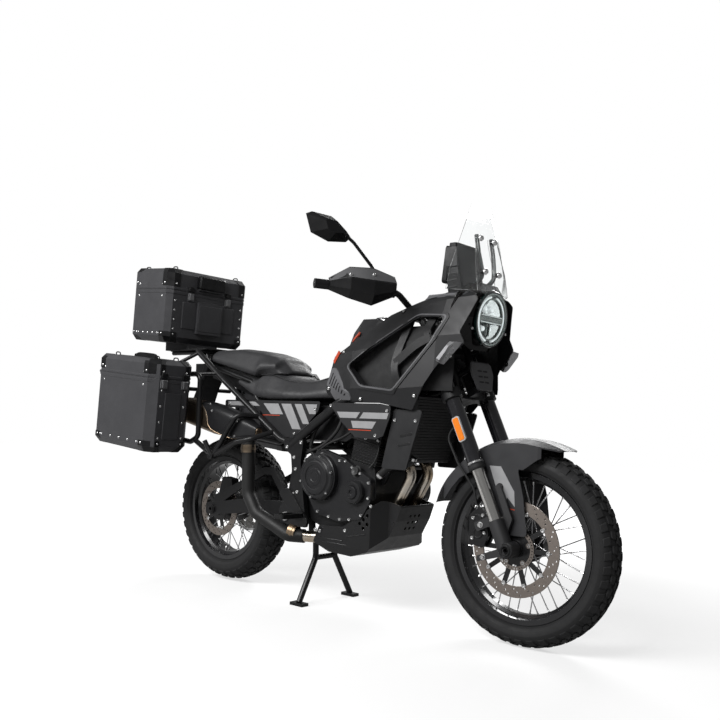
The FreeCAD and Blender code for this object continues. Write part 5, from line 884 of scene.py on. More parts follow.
def leg_finish():
    """Chrome on the inner tube and black paint on the cast foot: the seam lies square to the leg, 440 below
    the crown, and the chrome reaches only as far forward as the tube."""
    mat, tree, skin, place = finish_tree("leg_finish", (0.6, 0.6, 0.6), 0.15, 1.0, 0.0, 0.5)
    base = (STEER_BASE + (AHEAD, 0, 0)) / 1000
    masks = []
    for axis, limit, side in ((STEER_UP, -0.439, "GREATER_THAN"), (STEER_AHEAD, 0.0545, "LESS_THAN"),
                              (STEER_AHEAD, 0.0095, "GREATER_THAN")):
        reach = added(tree, "VectorMath", {0: place, 1: tuple(axis)}, "Value", operation="DOT_PRODUCT")
        masks.append(added(tree, "Math", {0: reach, 1: float(base @ axis) + limit}, operation=side))
    tube_only = added(tree, "Math", {0: masks[1], 1: masks[2]}, operation="MULTIPLY")
    bare = added(tree, "Math", {0: masks[0], 1: tube_only}, operation="MULTIPLY")
    rough = added(tree, "MapRange", {"Value": bare, "From Min": 0.0, "To Min": 0.44, "To Max": 0.12})
    smear = added(tree, "Math", {0: speckled(tree, place, 60), 1: 0.08, 2: rough}, operation="MULTIPLY_ADD")
    feed(tree, skin, {"Base Color": tinted(tree, bare, (0.014, 0.014, 0.015), (0.60, 0.59, 0.57)),
                      "Metallic": bare, "Roughness": smear,
                      "Normal": bumped(tree, speckled(tree, place, 700), 0.3, 0.0001)})
    return mat


dress(leg_finish(), "fork_lowers")
seal = turned([(21.8, -12), (27.5, -12), (29.2, -9), (29.2, -2), (28.2, 1), (28.2, 4), (27.2, 5), (21.8, 5)],
              32)
seal_band = turned([(27.5, 9), (28.4, 10), (28.4, 15), (27.5, 16), (26.5, 16), (26.5, 9)], 32)
tube_end = steer(-247, LEG_AHEAD, LEG_Y)
make("dust_seals", both(spread(seal, tube_end, STEER_UP)), "fork", "rubber_black", rubber)
make("tube_bands", both(spread(seal_band, tube_end, STEER_UP)), "fork", "spoke_steel", zinc)
cap = turned([(0, 3), (7, 3), (8, 7), (15, 7), (17, 5), (24, 4), (26.5, 2), (26.5, -1), (0, -1)], 24)
make("fork_caps", both(spread(cap, steer(214, LEG_AHEAD, LEG_Y), STEER_UP)), "fork", "fork_chrome", zinc)
stem_nut = turned([(0, 2), (9, 2), (10, 8), (17, 8), (19, 5), (19, -2), (0, -2)], 6)
make("stem_nut", spread(stem_nut, steer(213), STEER_UP), "fork", "fork_chrome", zinc)
pinch = [steer(s, LEG_AHEAD + 34, y) for s in (10, 24, 191) for y in (-70, 70)]
bolts("crown_bolts", pinch, STEER_AHEAD, socket_bolt(6, 6), "fork")
axle_end = turned([(8.5, 0), (12, 0), (13, -2), (13, 3.5), (17, 3.5), (17, 0), (24, -0.5), (26.5, -2.5),
                   (26.5, -4), (8.5, -4)], 28)
make("axle_ends", both(spread(axle_end, FRONT_AXLE + (0, 134, 0), LEFT)), "fork", "fork_dark", cast_paint)
foot_bolts = [steer(-563, LEG_AHEAD + dx, y) for y in (-118, 118) for dx in (-20, 20)]
bolts("foot_bolts", foot_bolts, -STEER_UP, socket_bolt(5.5, 5), "fork")

# caliper: bridge bolts, two mounting bolts on the foot, piston covers and the banjo
caliper = FRONT_AXLE + (-132, -89.7, 62)
bolts("caliper_bolts", caliper + np.array([(-24, 0, -42), (24, 0, -20), (16, 0, 38), (-22, 0, 26)]), RIGHT,
      socket_bolt(7, 5), "fork")
piston = turned([(0, 1), (13, 1), (14, 3), (17, 3), (19, 1.5), (19, -1), (0, -1)], 22)
make("piston_covers", strewn(piston, caliper + np.array([(-2, 0, -24), (-6, 0, 22)]), facing([RIGHT])[0]),
     "fork", "cast_black", cast_paint)
foot_arm = [steer(-432.5, -30, -LEG_Y), steer(-534.5, -62, -LEG_Y)]
bolts("caliper_mount_bolts", foot_arm, RIGHT, hex_bolt(8, 8), "fork")
banjo = turned([(0, 7), (5, 7), (7, 5), (7, 0), (9, 0), (9, -3), (0, -3)], 12)
make("banjo_bolt", spread(banjo, FRONT_AXLE + (-146, -86, 126), (-0.5, -0.8, 0.3)), "fork", "spoke_steel",
     zinc)

# amber reflector in a grey border on the right tube, and its twin on the left
reflector_place = steer(-112, LEG_AHEAD, -136)


def leg_plate(half_w, half_l, height, sink, corner):
    """A rounded oblong on the side of the right leg, its long side along the leg."""
    w, l, c = half_w, half_l, corner
    outline = [(-w + c, -l), (w - c, -l), (w, -l + c), (w, l - c), (w - c, l), (-w + c, l), (-w, l - c),
               (-w, -l + c)]
    return plate(outline, height, reflector_place, STEER_AHEAD, STEER_UP, bevel=1.2, sink=sink)


reflector_case = coat_finish("reflector_case", (0.45, 0.45, 0.45), 0.4, soft=0, cloud=40)
make("reflector_cases", both(leg_plate(15, 44, 2.5, 12, 5)), "fork", "fork_dark", reflector_case)


def reflector_finish(name, color):
    """Moulded prism plastic: a fine waffle of bumps under a clear gloss, each prism painted paler in its
    middle and darker at its edges as a painted glint.
    """
    mat, tree, skin, place = finish_tree(name, color, 0.25, 0.0, 0.6, 0.5)
    prism_glint_cells = added(tree, "TexVoronoi", {"Vector": place, "Scale": 420, "Randomness": 0.0}, "Distance")
    # Painted glint: each prism's colour is paler at its middle and darker at its edges.
    feed(tree, skin, {"Base Color": tinted(tree, prism_glint_cells, shaded(color, 1.25), shaded(color, 0.55)),
                      "Normal": bumped(tree, prism_glint_cells, 0.5, 0.0004)})
    return mat


amber = reflector_finish("amber_reflector", (0.80, 0.20, 0.006))
make("reflectors", both(leg_plate(12, 40, 4.6, -2, 4)), "fork", "signal_lens", amber)

# fender: satin grey moulding, bolted through its cheeks to the feet's brackets
fender_plastic = coat_finish("fender_plastic", (0.030, 0.030, 0.032), 0.42, grain=1300, relief=0.0001,
                             soft=0)
dress(fender_plastic, "front_fender")
FENDER_CHEEK_Y = 80.6
fender_heads = [(x, y, z) for x, z in ((683, 531), (728, 437)) for y in (-FENDER_CHEEK_Y, FENDER_CHEEK_Y)]
recess = turned([(0, 0.6), (9, 0.6), (10, 1.6), (13, 1.6), (14, 0.4), (14, -1), (0, -1)], 20)
fender_out = np.sign(fender_heads) * (0, 1, 0)
make("fender_recesses", strewn(recess, fender_heads, facing(fender_out)), "fork", "plastic_black", rubber)
bolts("fender_bolts", fender_heads, fender_out, socket_bolt(7.5, 4.5), "fork")
dress(rubber, "front_brake_hose")
dress(zinc, "chain")

# ---------------------------------------------------------------- tank, cowls and nose
# Moulded panels with a fine leather-like grain: charcoal outside, black inside. The tank is painted sheet.
# The cowl's window shows the tank and its inner braces; screws hold each panel through rubber grommets.
panel_charcoal = coat_finish("panel_charcoal", (0.0145, 0.0145, 0.0155), 0.42, grain=1400, relief=0.0001,
                             soft=0.0008)
dress(panel_charcoal, "side_cowls")
tank_paint = coat_finish("tank_paint", (0.012, 0.012, 0.013), 0.36, gloss=0.25, grain=1200, relief=0.00004,
                         soft=0.0015)
dress(tank_paint, "fuel_tank")
panel_black = coat_finish("panel_black", (0.006, 0.006, 0.0065), 0.42, grain=1400, relief=0.0001,
                          soft=0.0006, level=0.15)
dress(panel_black, "tail_unit", "dash_tower")
thin_black = coat_finish("thin_black", (0.006, 0.006, 0.0065), 0.4, grain=1400, relief=0.0001, soft=0)
dress(thin_black, "handguards", "mirrors", "hand_controls", "fork_shield")
nose_black = coat_finish("nose_black", (0.004, 0.0035, 0.0035), 0.24, gloss=0.12, grain=1100, relief=0.00003,
                         soft=0.001, level=0.15)
dress(nose_black, "nose_fairing")
side_black = coat_finish("side_black", (0.013, 0.013, 0.014), 0.48, grain=1400, relief=0.0001, soft=0.0008)
dress(side_black, "side_panels")

COWL_X = np.array([-45.0, 110, 330, 480, 600])
COWL_YZ = np.array([[(150, 790), (184, 850), (182, 960), (128, 1060), (108, 1084)],
                    [(168, 770), (206, 850), (202, 985), (142, 1085), (122, 1112)],
                    [(178, 750), (216, 850), (206, 1010), (150, 1130), (124, 1166)],
                    [(172, 740), (206, 860), (194, 1030), (140, 1160), (104, 1194)],
                    [(140, 740), (160, 860), (146, 1040), (106, 1174), (84, 1202)]], float)


def cowl_half(x, z):
    """How far out the cowl's skin stands at x and z: the five stations' edges, blended along x, then along
    z."""
    edge = np.array([[np.interp(x, COWL_X, COWL_YZ[:, i, k]) for k in (0, 1)] for i in range(5)])
    return float(np.interp(z, edge[:, 1], edge[:, 0]))


def cowl_spot(x, z, lift=0.0):
    """A point on the right cowl's skin and the direction out of it."""
    y = cowl_half(x, z)
    out = np.array([-(cowl_half(x + 4, z) - cowl_half(x - 4, z)) / 8, 1.0,
                    -(cowl_half(x, z + 4) - cowl_half(x, z - 4)) / 8])
    out /= np.linalg.norm(out)
    return (np.array([x, y, z]) + out * lift) * (1, -1, 1), out * (1, -1, 1)


def rounded_line(corners, radius, steps=6):
    """A closed outline with every corner turned into an arc-like curve of three-point weights."""
    p = np.asarray(corners, float)
    back = np.roll(p, 1, 0) - p
    ahead = np.roll(p, -1, 0) - p
    reach_b = np.minimum(radius, np.linalg.norm(back, axis=1) * 0.45)[:, None]
    reach_a = np.minimum(radius, np.linalg.norm(ahead, axis=1) * 0.45)[:, None]
    start = p + back / np.linalg.norm(back, axis=1, keepdims=True) * reach_b
    stop = p + ahead / np.linalg.norm(ahead, axis=1, keepdims=True) * reach_a
    t = np.linspace(0, 1, steps)[None, :, None]
    curve = (1 - t) ** 2 * start[:, None] + 2 * t * (1 - t) * p[:, None] + t ** 2 * stop[:, None]
    return curve.reshape(-1, 2)


WINDOW = np.array([(376, 1104), (494, 1098), (462, 1016), (318, 850), (166, 862), (94, 934)], float)


def cowl_line(line, lift):
    """The cowl's skin points under a line of (x, z), each lifted off the skin."""
    return np.array([cowl_spot(x, z, lift)[0] for x, z in line])


def window_line(grow):
    """The window's rounded outline, its corners pushed away from its middle by grow, with three more points
    on each run so that it can follow the skin."""
    middle = WINDOW.mean(0)
    away = WINDOW - middle
    corners = middle + away + away / np.linalg.norm(away, axis=1, keepdims=True) * grow
    line = rounded_line(corners, 18, 7)
    return np.concatenate([np.linspace(a, b, 5)[:-1] for a, b in zip(line, np.roll(line, -1, 0))])


trim_rings = [cowl_line(window_line(grow), lift) for grow, lift in ((1, -6), (3, 3.6), (9, 3.6), (10.5, 2))]
trim_grey = coat_finish("trim_grey", (0.10, 0.10, 0.105), 0.38, grain=1200, relief=0.00005, soft=0)
make("window_trim", both(grid(np.stack(trim_rings), around=True, along=True)), "chassis", "plastic_charcoal",
     trim_grey, crease=40)
cowl_heads = [(510, 1170), (300, 1128), (402, 826), (530, 962), (60, 985), (150, 812), (-12, 850)]
head_spots, head_outs = np.array([cowl_spot(x, z, 0.5) for x, z in cowl_heads]).transpose(1, 0, 2)
bolt_pair("cowl_screws", head_spots, head_outs, socket_bolt(6.5, 4), "chassis")
grommet = turned([(6.4, 1), (9.5, 1.2), (10.5, 0.4), (10.5, -2), (6.4, -2)], 18)
make("cowl_grommets", both(strewn(grommet, head_spots, facing(head_outs))), "chassis", "rubber_black",
     hose_rubber)

# braces behind the window: broad curved struts, and a dark inner cover of two thin walls
struts = [[(330, 850), (300, 940), (330, 1100)], [(452, 990), (420, 1050), (430, 1104)],
          [(300, 940), (380, 1000), (440, 1030)]]
braces = [swept(flowing([(x, -(cowl_half(x, z) - 26), z) for x, z in line], 8), lozenge(15, 5, 17),
                spin=(0, 1, 0.01)) for line in struts]
make("cowl_struts", both(joined(*braces)), "chassis", "plastic_black", thin_black)
lining = np.array([[(x, -(cowl_half(x, z) - 44), z) for x in np.linspace(70, 520, 16)]
                   for z in np.linspace(846, 1074, 12)])
make("cowl_lining", both(joined(grid(lining), grid(lining + (0, 2, 0)))), "chassis", "plastic_black", rubber)

# filler cap on the tank's top, held by five small screws
cap = turned([(0, 2.5), (9, 2.5), (10, 1.0), (24, 1.0), (26, 3.0), (34, 3.0), (37.5, 1.2), (38, -3),
              (0, -3)], 40)
UP = (0, 0, 1)
FORWARD = (1, 0, 0)
make("filler_cap", spread(cap, (98, 0, 1127), UP), "chassis", "tank_black", dark_bolt)
filler_ring = ringed((0, 0, 0), 30, 5)[:, [0, 2, 1]] + (98, 0, 1129.6)
bolts("filler_screws", filler_ring, UP, socket_bolt(3, 2.5), "chassis")

# two painted tabs on each shoulder of the tank and cowl
tab_red = coat_finish("tab_red", (0.42, 0.055, 0.022), 0.35, gloss=0.3, grain=900, relief=0.00003, cloud=40,
                      soft=0)
tab_line = rounded_line([(-28, -8), (26, -8), (30, 7), (-24, 7)], 3)


def on_tank(place):
    """The nearest spot on the tank's skin and the outward direction there."""
    target = Vector((np.array(place) + (AHEAD, 0, 0)) / 1000)
    spot, out = NODES["fuel_tank"].closest_point_on_mesh(target)[1:3]
    return np.array(spot) * 1000 - (AHEAD, 0, 0), np.array(out)


def laid(lean, out):
    """The part of lean that lies flat on a skin facing out."""
    return np.array(lean) - out * (out @ lean)


tank_spot, tank_out = on_tank((52, -119, 1048))
tank_lean = laid((0.93, -0.1, 0.36), tank_out)
tank_lean /= np.linalg.norm(tank_lean)
cowl_place, cowl_out = cowl_spot(26, 966, 0.5)
cowl_lean = laid((0.60, 0, 0.80), cowl_out)
tabs = [plate(tab_line, 2.6, tank_spot, tank_lean, np.cross(tank_out, tank_lean), bevel=0.8, sink=3),
        plate(tab_line * 0.9, 2.6, cowl_place, cowl_lean / np.linalg.norm(cowl_lean),
              np.cross(cowl_out, cowl_lean), bevel=0.8, sink=3)]
make("shoulder_tabs", both(joined(*tabs)), "chassis", "signal_lens", tab_red)


def cowl_pad(outline, lift):
    """A raised pad that follows the cowl's skin: rings from its edge in to its middle."""
    ring = inset(outline, 3.0)
    middle = ring.mean(0)
    rows = [cowl_line(middle + (ring - middle) * k, lift) for k in (1.0, 0.75, 0.5, 0.25, 0.01)]
    return grid(np.array([cowl_line(outline, -1.0), *rows]), around=True)


# louvred knee grip on each cowl's rear corner: a raised pad with seven slanting slots
knee_line = rounded_line([(-24, 866), (6, 930), (30, 926), (104, 830), (104, 806), (8, 806)], 10)
make("knee_pads", both(cowl_pad(knee_line, 4.0)), "chassis", "plastic_black", trim_grey)
louvres = []
for k in range(7):
    line = np.linspace((-4 + 12 * k, 866 - 6.5 * k), (16 + 10.5 * k, 908 - 12.5 * k), 6)
    louvres.append(swept(cowl_line(line, 4.4), [(-2.4, -1.4), (2.4, -1.4), (1.6, 0.8), (-1.6, 0.8)],
                         spin=(0, -1, 0.05)))
make("knee_louvres", both(joined(*louvres)), "chassis", "plastic_black", thin_black)

# shoulder covers on the cowls' front tops
top_line = rounded_line([(376, 1160), (409, 1171), (518, 1166), (549, 1186), (450, 1186), (384, 1184)], 6)
make("shoulder_covers", both(cowl_pad(top_line, 3.0)), "chassis", "plastic_charcoal", trim_grey)

# tail lamp: one red prism lens across the box behind the seat
tail_red = reflector_finish("tail_red", (0.42, 0.012, 0.010))
tail_lens = plate(rounded_line(oblong(50, 13, 54), 5), 2.5, (-985, 0, 949), RIGHT, UP, bevel=1.2, sink=2)
make("tail_lens", tail_lens, "chassis", "signal_lens", tail_red)

# ---------------------------------------------------------------- headlamp
# Sealed round lamp: a smoked ring round a white light guide that is split above and below, a faceted mirror
# behind the lens, and a dark bar across the middle between two bright edges.
LAMP_C = np.array([574.0, 0.0, 1101.0])
LAMP_TILT = math.radians(7)
lamp_out = np.array([math.cos(LAMP_TILT), 0, -math.sin(LAMP_TILT)])
lamp_up = np.array([math.sin(LAMP_TILT), 0, math.cos(LAMP_TILT)])
lamp_axes = np.stack([np.array([0, 1.0, 0]), lamp_up, lamp_out])


def lamp_shape(profile, sides=72):
    """A lathe shape about the lamp's axis from (radius, distance out) pairs."""
    return strewn(turned(profile, sides), [LAMP_C], lamp_axes)


def lamp_arc(low, high, r_in, r_out, back, face, steps=24):
    """Part of a ring between two angles from the lamp's left: a rounded bar bent round the axis."""
    t = np.radians(np.linspace(low, high, steps))
    mid = (r_in + r_out) / 2
    outline = [(r_in, back), (r_in, face - 2), (r_in + 1.6, face), (mid, face + 0.7), (r_out - 1.6, face),
               (r_out, face - 2), (r_out, back)]
    rows = [[(r * math.cos(a), r * math.sin(a), h) for r, h in outline] for a in t]
    first, last = ([(mid * math.cos(a), mid * math.sin(a), back + 1)] * len(outline) for a in (t[0], t[-1]))
    return strewn(grid(np.array([first, *rows, last]), around=True), [LAMP_C], lamp_axes)


smoked = coat_finish("smoked_rim", (0.006, 0.016, 0.014), 0.08, gloss=1.0, relief=0.00001, soft=0, level=0.6)
mirror_coat = coat_finish("mirror_coat", (0.70, 0.71, 0.72), 0.14, metal=1.0, relief=0.00001, cloud=40,
                          soft=0)


def glowing_finish(name, color, power):
    """Moulded light guide: milky plastic with a low glow of its own."""
    mat, tree, skin, place = finish_tree(name, color, 0.2, 0.0, 0.5, 0.5)
    feed(tree, skin, {"Base Color": tinted(tree, speckled(tree, place, 300), shaded(color, 0.9), color),
                      "Emission Color": color, "Emission Strength": power})
    return mat


milky = glowing_finish("light_guide", (0.86, 0.88, 0.90), 0.25)
bucket = make("lamp_bucket", lamp_shape([(0, -62), (70, -62), (91.5, -6), (97.2, -8), (97.2, 1.5),
                                         (95.5, 3.6), (92.5, 3.8), (85, 0.5), (84.5, -9), (40, -34),
                                         (0, -40)]), "chassis", "plastic_black", smoked)
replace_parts(bucket, "headlamp")
ring_arcs = [lamp_arc(a, b, 73.5, 80.5, -9, -0.5) for a, b in ((-76, 76), (104, 256))]
make("lamp_light_guide", joined(*ring_arcs), "chassis", "lamp_glass", milky)
make("lamp_inner_ring", lamp_shape([(68, -16), (68, -3), (69.5, -1.5), (72, -1.8), (72.8, -4), (72.8, -16)],
                                   72), "chassis", "plastic_black", smoked)


def mirror_half(sign):
    """Half of the faceted mirror: a bowl whose depth falls with the square of the radius, stepped in facets
    round and across, above or below the middle bar."""
    r = np.linspace(12, 67.5, 9)
    t = np.radians(np.linspace(14, 166, 25)) * sign
    facet = 1.6 * ((np.arange(9)[:, None] + np.arange(25)[None]) % 2)
    depth = -34 + 22 * (r[:, None] / 67.5) ** 2 + facet
    x = r[:, None] * np.cos(t)
    y = r[:, None] * np.sin(t)
    return strewn(grid(np.stack([x, y, np.broadcast_to(depth, x.shape)], -1)), [LAMP_C], lamp_axes)


make("lamp_mirrors", joined(mirror_half(1), mirror_half(-1)), "chassis", "muffler_steel", mirror_coat,
     crease=5)
bulb = turned([(0, -14), (6, -14.5), (9, -17), (10, -24), (13, -30), (0, -30)], 20)
bulb_places = [LAMP_C + lamp_up * s + (0, y, 0) for s in (34, -34) for y in (-20, 20)]
make("lamp_projectors", strewn(bulb, bulb_places, lamp_axes), "chassis", "lamp_glass", milky)
bar = plate(oblong(72, 9, 73), -2.0, LAMP_C, LEFT, lamp_up, bevel=1.5, sink=30)
make("lamp_bar", bar, "chassis", "plastic_black", smoked)
edges = [plate(np.array(oblong(66, 1.8)) + (0, h), -0.6, LAMP_C, LEFT, lamp_up, bevel=0.8, sink=16)
         for h in (-11.5, 11.5)]
posts = [plate(np.array(oblong(3, 22)) + (y, -36), -10, LAMP_C, LEFT, lamp_up, bevel=0.8, sink=30)
         for y in (-8, 8)]
make("lamp_bar_edges", joined(*edges), "chassis", "muffler_steel", mirror_coat)
make("lamp_posts", joined(*posts), "chassis", "plastic_black", smoked)


def clear_finish(name, color, rough=0.02, ior=1.3):
    """Clear moulded plastic with faint smears."""
    mat, tree, skin, place = finish_tree(name, color, rough, 0.0, 0.0, 0.5)
    film = added(tree, "MapRange", {"Value": speckled(tree, place, 14), "To Min": rough,
                                    "To Max": rough + 0.04})
    feed(tree, skin, {"Transmission Weight": 1.0, "IOR": ior, "Roughness": film})
    return mat


lens_clear = clear_finish("lens_clear", (0.93, 0.97, 0.96), 0.02, 1.12)
r = np.linspace(0, 1, 12)
outside = np.stack([90 * r, 4.2 + 3.6 * (1 - r ** 2)], -1)
inside = np.stack([90 * r[::-1], 2.8 + 3.4 * (1 - r[::-1] ** 2)], -1)
make("lamp_lens", lamp_shape(np.concatenate([outside, inside])), "chassis", "lamp_glass", lens_clear)
nose_heads = [LAMP_C + (-10, y, z) for y, z in ((-106, 44), (-106, -40), (106, 44), (106, -40))]
nose_out = [(0.75, math.copysign(0.6, p[1]), 0) for p in nose_heads]
bolts("nose_screws", nose_heads, nose_out, socket_bolt(5, 4), "chassis")

# ---------------------------------------------------------------- instrument mast, signals and fork shield
# The mast holds a flat display under a hood, and carries the screen on two dark green arms.
# Bright knobs hold the screen to the arms.
arm_green = coat_finish("arm_green", (0.007, 0.018, 0.016), 0.3, gloss=0.3, grain=900, relief=0.00004,
                        soft=0)
knob = turned([(0, 8), (3, 8), (4, 6.5), (7.5, 6), (9.5, 4), (10.5, 0), (11.5, -1.5), (11.5, -4), (0, -4)],
              18)
knobs = [(546, -43.7, 1380), (546, 43.7, 1380), (570, -43.7, 1262), (570, 43.7, 1262)]
make("screen_knobs", strewn(knob, knobs, facing([(0.98, 0, 0.2)])[0]), "chassis", "spoke_steel", zinc)
sleeves = []
for y in (46, -46):
    path = flowing([(478, y * 0.72, 1196), (540, y * 0.79, 1236), (549, y * 0.84, 1266), (538, y, 1330),
                    (527, y, 1388)], 8)
    sleeves.append(swept(path, oblong(6, 5.5), spin=(1, 0, 0.1)))
make("screen_arms", joined(*sleeves), "chassis", "plastic_black", arm_green)
glass_dark = coat_finish("display_glass", (0.006, 0.007, 0.008), 0.06, gloss=1.0, relief=0.00001, soft=0)
DISPLAY_UP = (0.13, 0, 0.99)
display = plate(rounded_line(oblong(58, 44, 62), 10), 3.0, (408, 0, 1296), RIGHT, DISPLAY_UP, bevel=1.5,
                sink=14)
make("display_glass", display, "chassis", "lamp_glass", glass_dark)
hood = plate(rounded_line(oblong(70, 66, 74), 12), 0.8, (410, 0, 1298), RIGHT, DISPLAY_UP, bevel=2.5,
             sink=20)
make("display_hood", hood, "chassis", "plastic_black", thin_black)
side_ribs = [plate([(-22, -3), (22, -3), (26, 3), (-18, 3)], 2.2, (450, -74, 1190 + 24 * k), (1, 0, 0.1),
                   (-0.1, 0, 1), bevel=1) for k in range(6)]
mast_box = plate(rounded_line([(-26, -34), (26, -34), (20, 38), (-22, 38)], 8), 6, (448, -72, 1318), FORWARD,
                 UP, bevel=2)
make("mast_ribs", both(joined(*side_ribs, mast_box)), "chassis", "plastic_black", thin_black)

silver_lens = coat_finish("signal_silver", (0.34, 0.34, 0.35), 0.3, metal=0.6, grain=400, relief=0.0002,
                          soft=0)
dress(silver_lens, "front_turn_signals")

# painted face of the fork shield, with two columns of dark slots
shield_face = [(-44, 0), (44, 0), (70, 60), (62, 100), (-62, 100), (-70, 60)]
shield_up = STEER_UP * 0.981 + STEER_AHEAD * 0.192
shield_mid = steer(6, 101)
shield_paint_grey = coat_finish("shield_grey", (0.055, 0.055, 0.058), 0.38, gloss=0.1, relief=0.0001, soft=0)
make("shield_face", plate(rounded_line(shield_face, 10), 2.6, shield_mid, LEFT, shield_up, bevel=2, sink=3),
     "fork", "plastic_charcoal", shield_paint_grey)
shield_slots = [plate(lozenge(12, 3, 14), 3.3, shield_mid + shield_up * (30 + 20 * k) + (0, y, 0), LEFT,
                      shield_up, bevel=0.6, sink=-1) for k in range(3) for y in (-17, 17)]
make("shield_slots", joined(*shield_slots), "fork", "plastic_black", rubber)

# ---------------------------------------------------------------- handlebar, guards, controls and mirrors
# Tapered alloy bar, ribbed rubber grips, switch pods, forged levers, moulded guards on bright screws,
# and a mirror on each side.
BAR_P = np.array([300.4, 190.0, 1188.4])
BAR_Q = np.array([161.4, 418.0, 1194.4])
bar_reach = (BAR_Q - BAR_P) / np.linalg.norm(BAR_Q - BAR_P)


def bar_turned(profile, start, sides=28):
    """A lathe shape about the left grip's axis, from a distance along the bar."""
    return spread(turned(profile, sides), BAR_P + bar_reach * start, bar_reach)


ribs = [bar_turned([(16.9, 0), (17.8, 0.8), (17.8, 3.2), (16.9, 4)], 116 + 6 * k) for k in range(18)]
collar = bar_turned([(16.9, 0), (22.5, 1), (24, 3), (24, 6), (22.5, 8), (16.9, 8)], 108)
make("grip_ribs", both(joined(*ribs, collar)), "fork", "rubber_black", rubber, crease=50)
end_cap = bar_turned([(0, 3.2), (6, 3.2), (7, 1.5), (13, 1.5), (16.6, 0), (16.6, -3), (0, -3)], 300, 24)
make("bar_end_caps", both(end_cap), "fork", "spoke_steel", dark_bolt)
button = plate(rounded_line(oblong(7, 4.5), 2.5), 3.5, (0, 0, 0), FORWARD, LEFT, bevel=1, sink=2)
pod_back = np.cross(bar_reach, (0, 0, 1.0))
pod_back *= -1 if pod_back[0] > 0 else 1
pod_axes = np.stack([bar_reach, np.cross(pod_back, bar_reach), pod_back])
places = [BAR_P + bar_reach * s + pod_axes[1] * u + pod_back * (math.sqrt(max(23 ** 2 - u ** 2, 0)) - 0.5)
          for s, u in ((76, 8), (92, 8), (84, -8), (98, -6))]
make("switch_buttons", both(strewn(button, places, pod_axes)), "fork", "plastic_black", dark_bolt)
reservoir_cap = turned([(0, 46.5), (17, 46.5), (19, 45), (20.5, 43), (20.5, 38), (19.8, 37)], 24)
make("reservoir_caps", both(spread(reservoir_cap, BAR_P + bar_reach * 44, UP)), "fork", "plastic_black",
     thin_black)
guard_front = np.array([bar_reach[1], -bar_reach[0], 0])
guard_front /= np.linalg.norm(guard_front)
guard_sections = [(-14, 70, 34, 10), (70, 84, 64, 0), (150, 72, 53, 8), (212, 34, 20, 3)]


def guard_rows(low, high, lift):
    """Rows over the hand guard's upper face, from the share low to high of the way up from its front
    crease."""
    rows = []
    for d, out, tall, drop in guard_sections:
        centre = BAR_P + bar_reach * (d + 40) + (0, 0, drop)
        crease_point = centre + guard_front * out + (0, 0, tall * 0.2)
        top_point = centre + guard_front * (out - 26) + (0, 0, tall)
        normal = np.cross(top_point - crease_point, bar_reach)
        normal /= np.linalg.norm(normal)
        normal *= 1 if normal @ guard_front > 0 else -1
        rows.append([crease_point + (top_point - crease_point) * k + normal * lift for k in (low, high)])
    return np.array(rows)


facet_grey = coat_finish("facet_grey", (0.085, 0.085, 0.088), 0.4, grain=1300, relief=0.00008, soft=0)
facet = grid(np.concatenate([guard_rows(0.12, 0.94, 0.9), guard_rows(0.12, 0.94, -1.0)[:, ::-1]], 1),
             around=True)
make("guard_facets", both(facet), "fork", "plastic_charcoal", facet_grey)
guard_heads = [guard_rows(0.5, 0.5, 1.2)[1][0], guard_rows(0.3, 0.3, 1.2)[2][0]]
bolts("hand_guard_screws", guard_heads + [g * (1, -1, 1) for g in guard_heads],
      [guard_front] * 2 + [guard_front * (1, -1, 1)] * 2, socket_bolt(6, 4), "fork")

MIRROR_C = np.array([148.0, 390.0, 1394.0])
mirror_rim = [(330, 1352), (391, 1346), (450, 1370), (468, 1432), (448, 1442), (382, 1435), (312, 1370)]


def mirror_layer(size, reach_x, height, sink, bevel):
    """A sheet on the mirror's back-swept face, its outline the head's rim shrunk to size."""
    outline = [((MIRROR_C[1] - y) * -size, (z - MIRROR_C[2]) * size) for y, z in mirror_rim]
    return plate(outline, height, MIRROR_C + (reach_x, 0, 0), (-0.45, 1, 0), UP, bevel=bevel, sink=sink)


mirror_silver = coat_finish("mirror_silver", (0.82, 0.83, 0.84), 0.03, metal=1.0, relief=0.000003, soft=0,
                            cloud=4)
glass = mirror_layer(0.88, -1.2, 0.8, 0.2, 0.6)
make("mirror_glass", both(glass), "fork", "fork_chrome", mirror_silver)
boot = turned([(6, 0), (11, 0), (11.5, 3), (9, 7), (10, 9), (8, 14), (6, 16)], 16)
stem_boots = [spread(boot, (176, 352, 1384), (-0.15, 0.85, 0.5)),
              spread(boot, (256, 234, 1212), (-0.3, 0.1, 0.95))]
make("mirror_boots", both(joined(*stem_boots)), "fork", "rubber_black", rubber)
bar_heads = [(295.4 + a, y, 1142.4) for y in (-42, 42) for a in (-12, 12)]
bolts("bar_clamp_bolts", bar_heads, UP, socket_bolt(5, 5), "fork")
lever_tip = turned([(0, 7), (4, 6.5), (6.5, 3), (7, 0), (6, -4), (0, -4)], 14)
lever_end = BAR_P + bar_reach * 240 + (36, 0, -12)
make("lever_tips", both(spread(lever_tip, lever_end, bar_reach)), "fork", "cast_black", cast_paint)

# ---------------------------------------------------------------- seats
# Two foam cushions under grained black cover stock: the low rider's saddle, and the raised passenger pad
# behind the step. Sewn seams run round their upper edges; the foam crowns between them.
seat_cover = coat_finish("seat_cover", (0.024, 0.024, 0.0255), 0.52, grain=520, relief=0.0004, cloud=12,
                         soft=0, level=0.35)
# A darker copy of the seat cover, for the piping: painted shade along the seams.
seam_piping_shade = coat_finish("seam_piping_shade", (0.011, 0.011, 0.012), 0.5, grain=520, relief=0.0004, cloud=12, soft=0,
                        level=0.35)


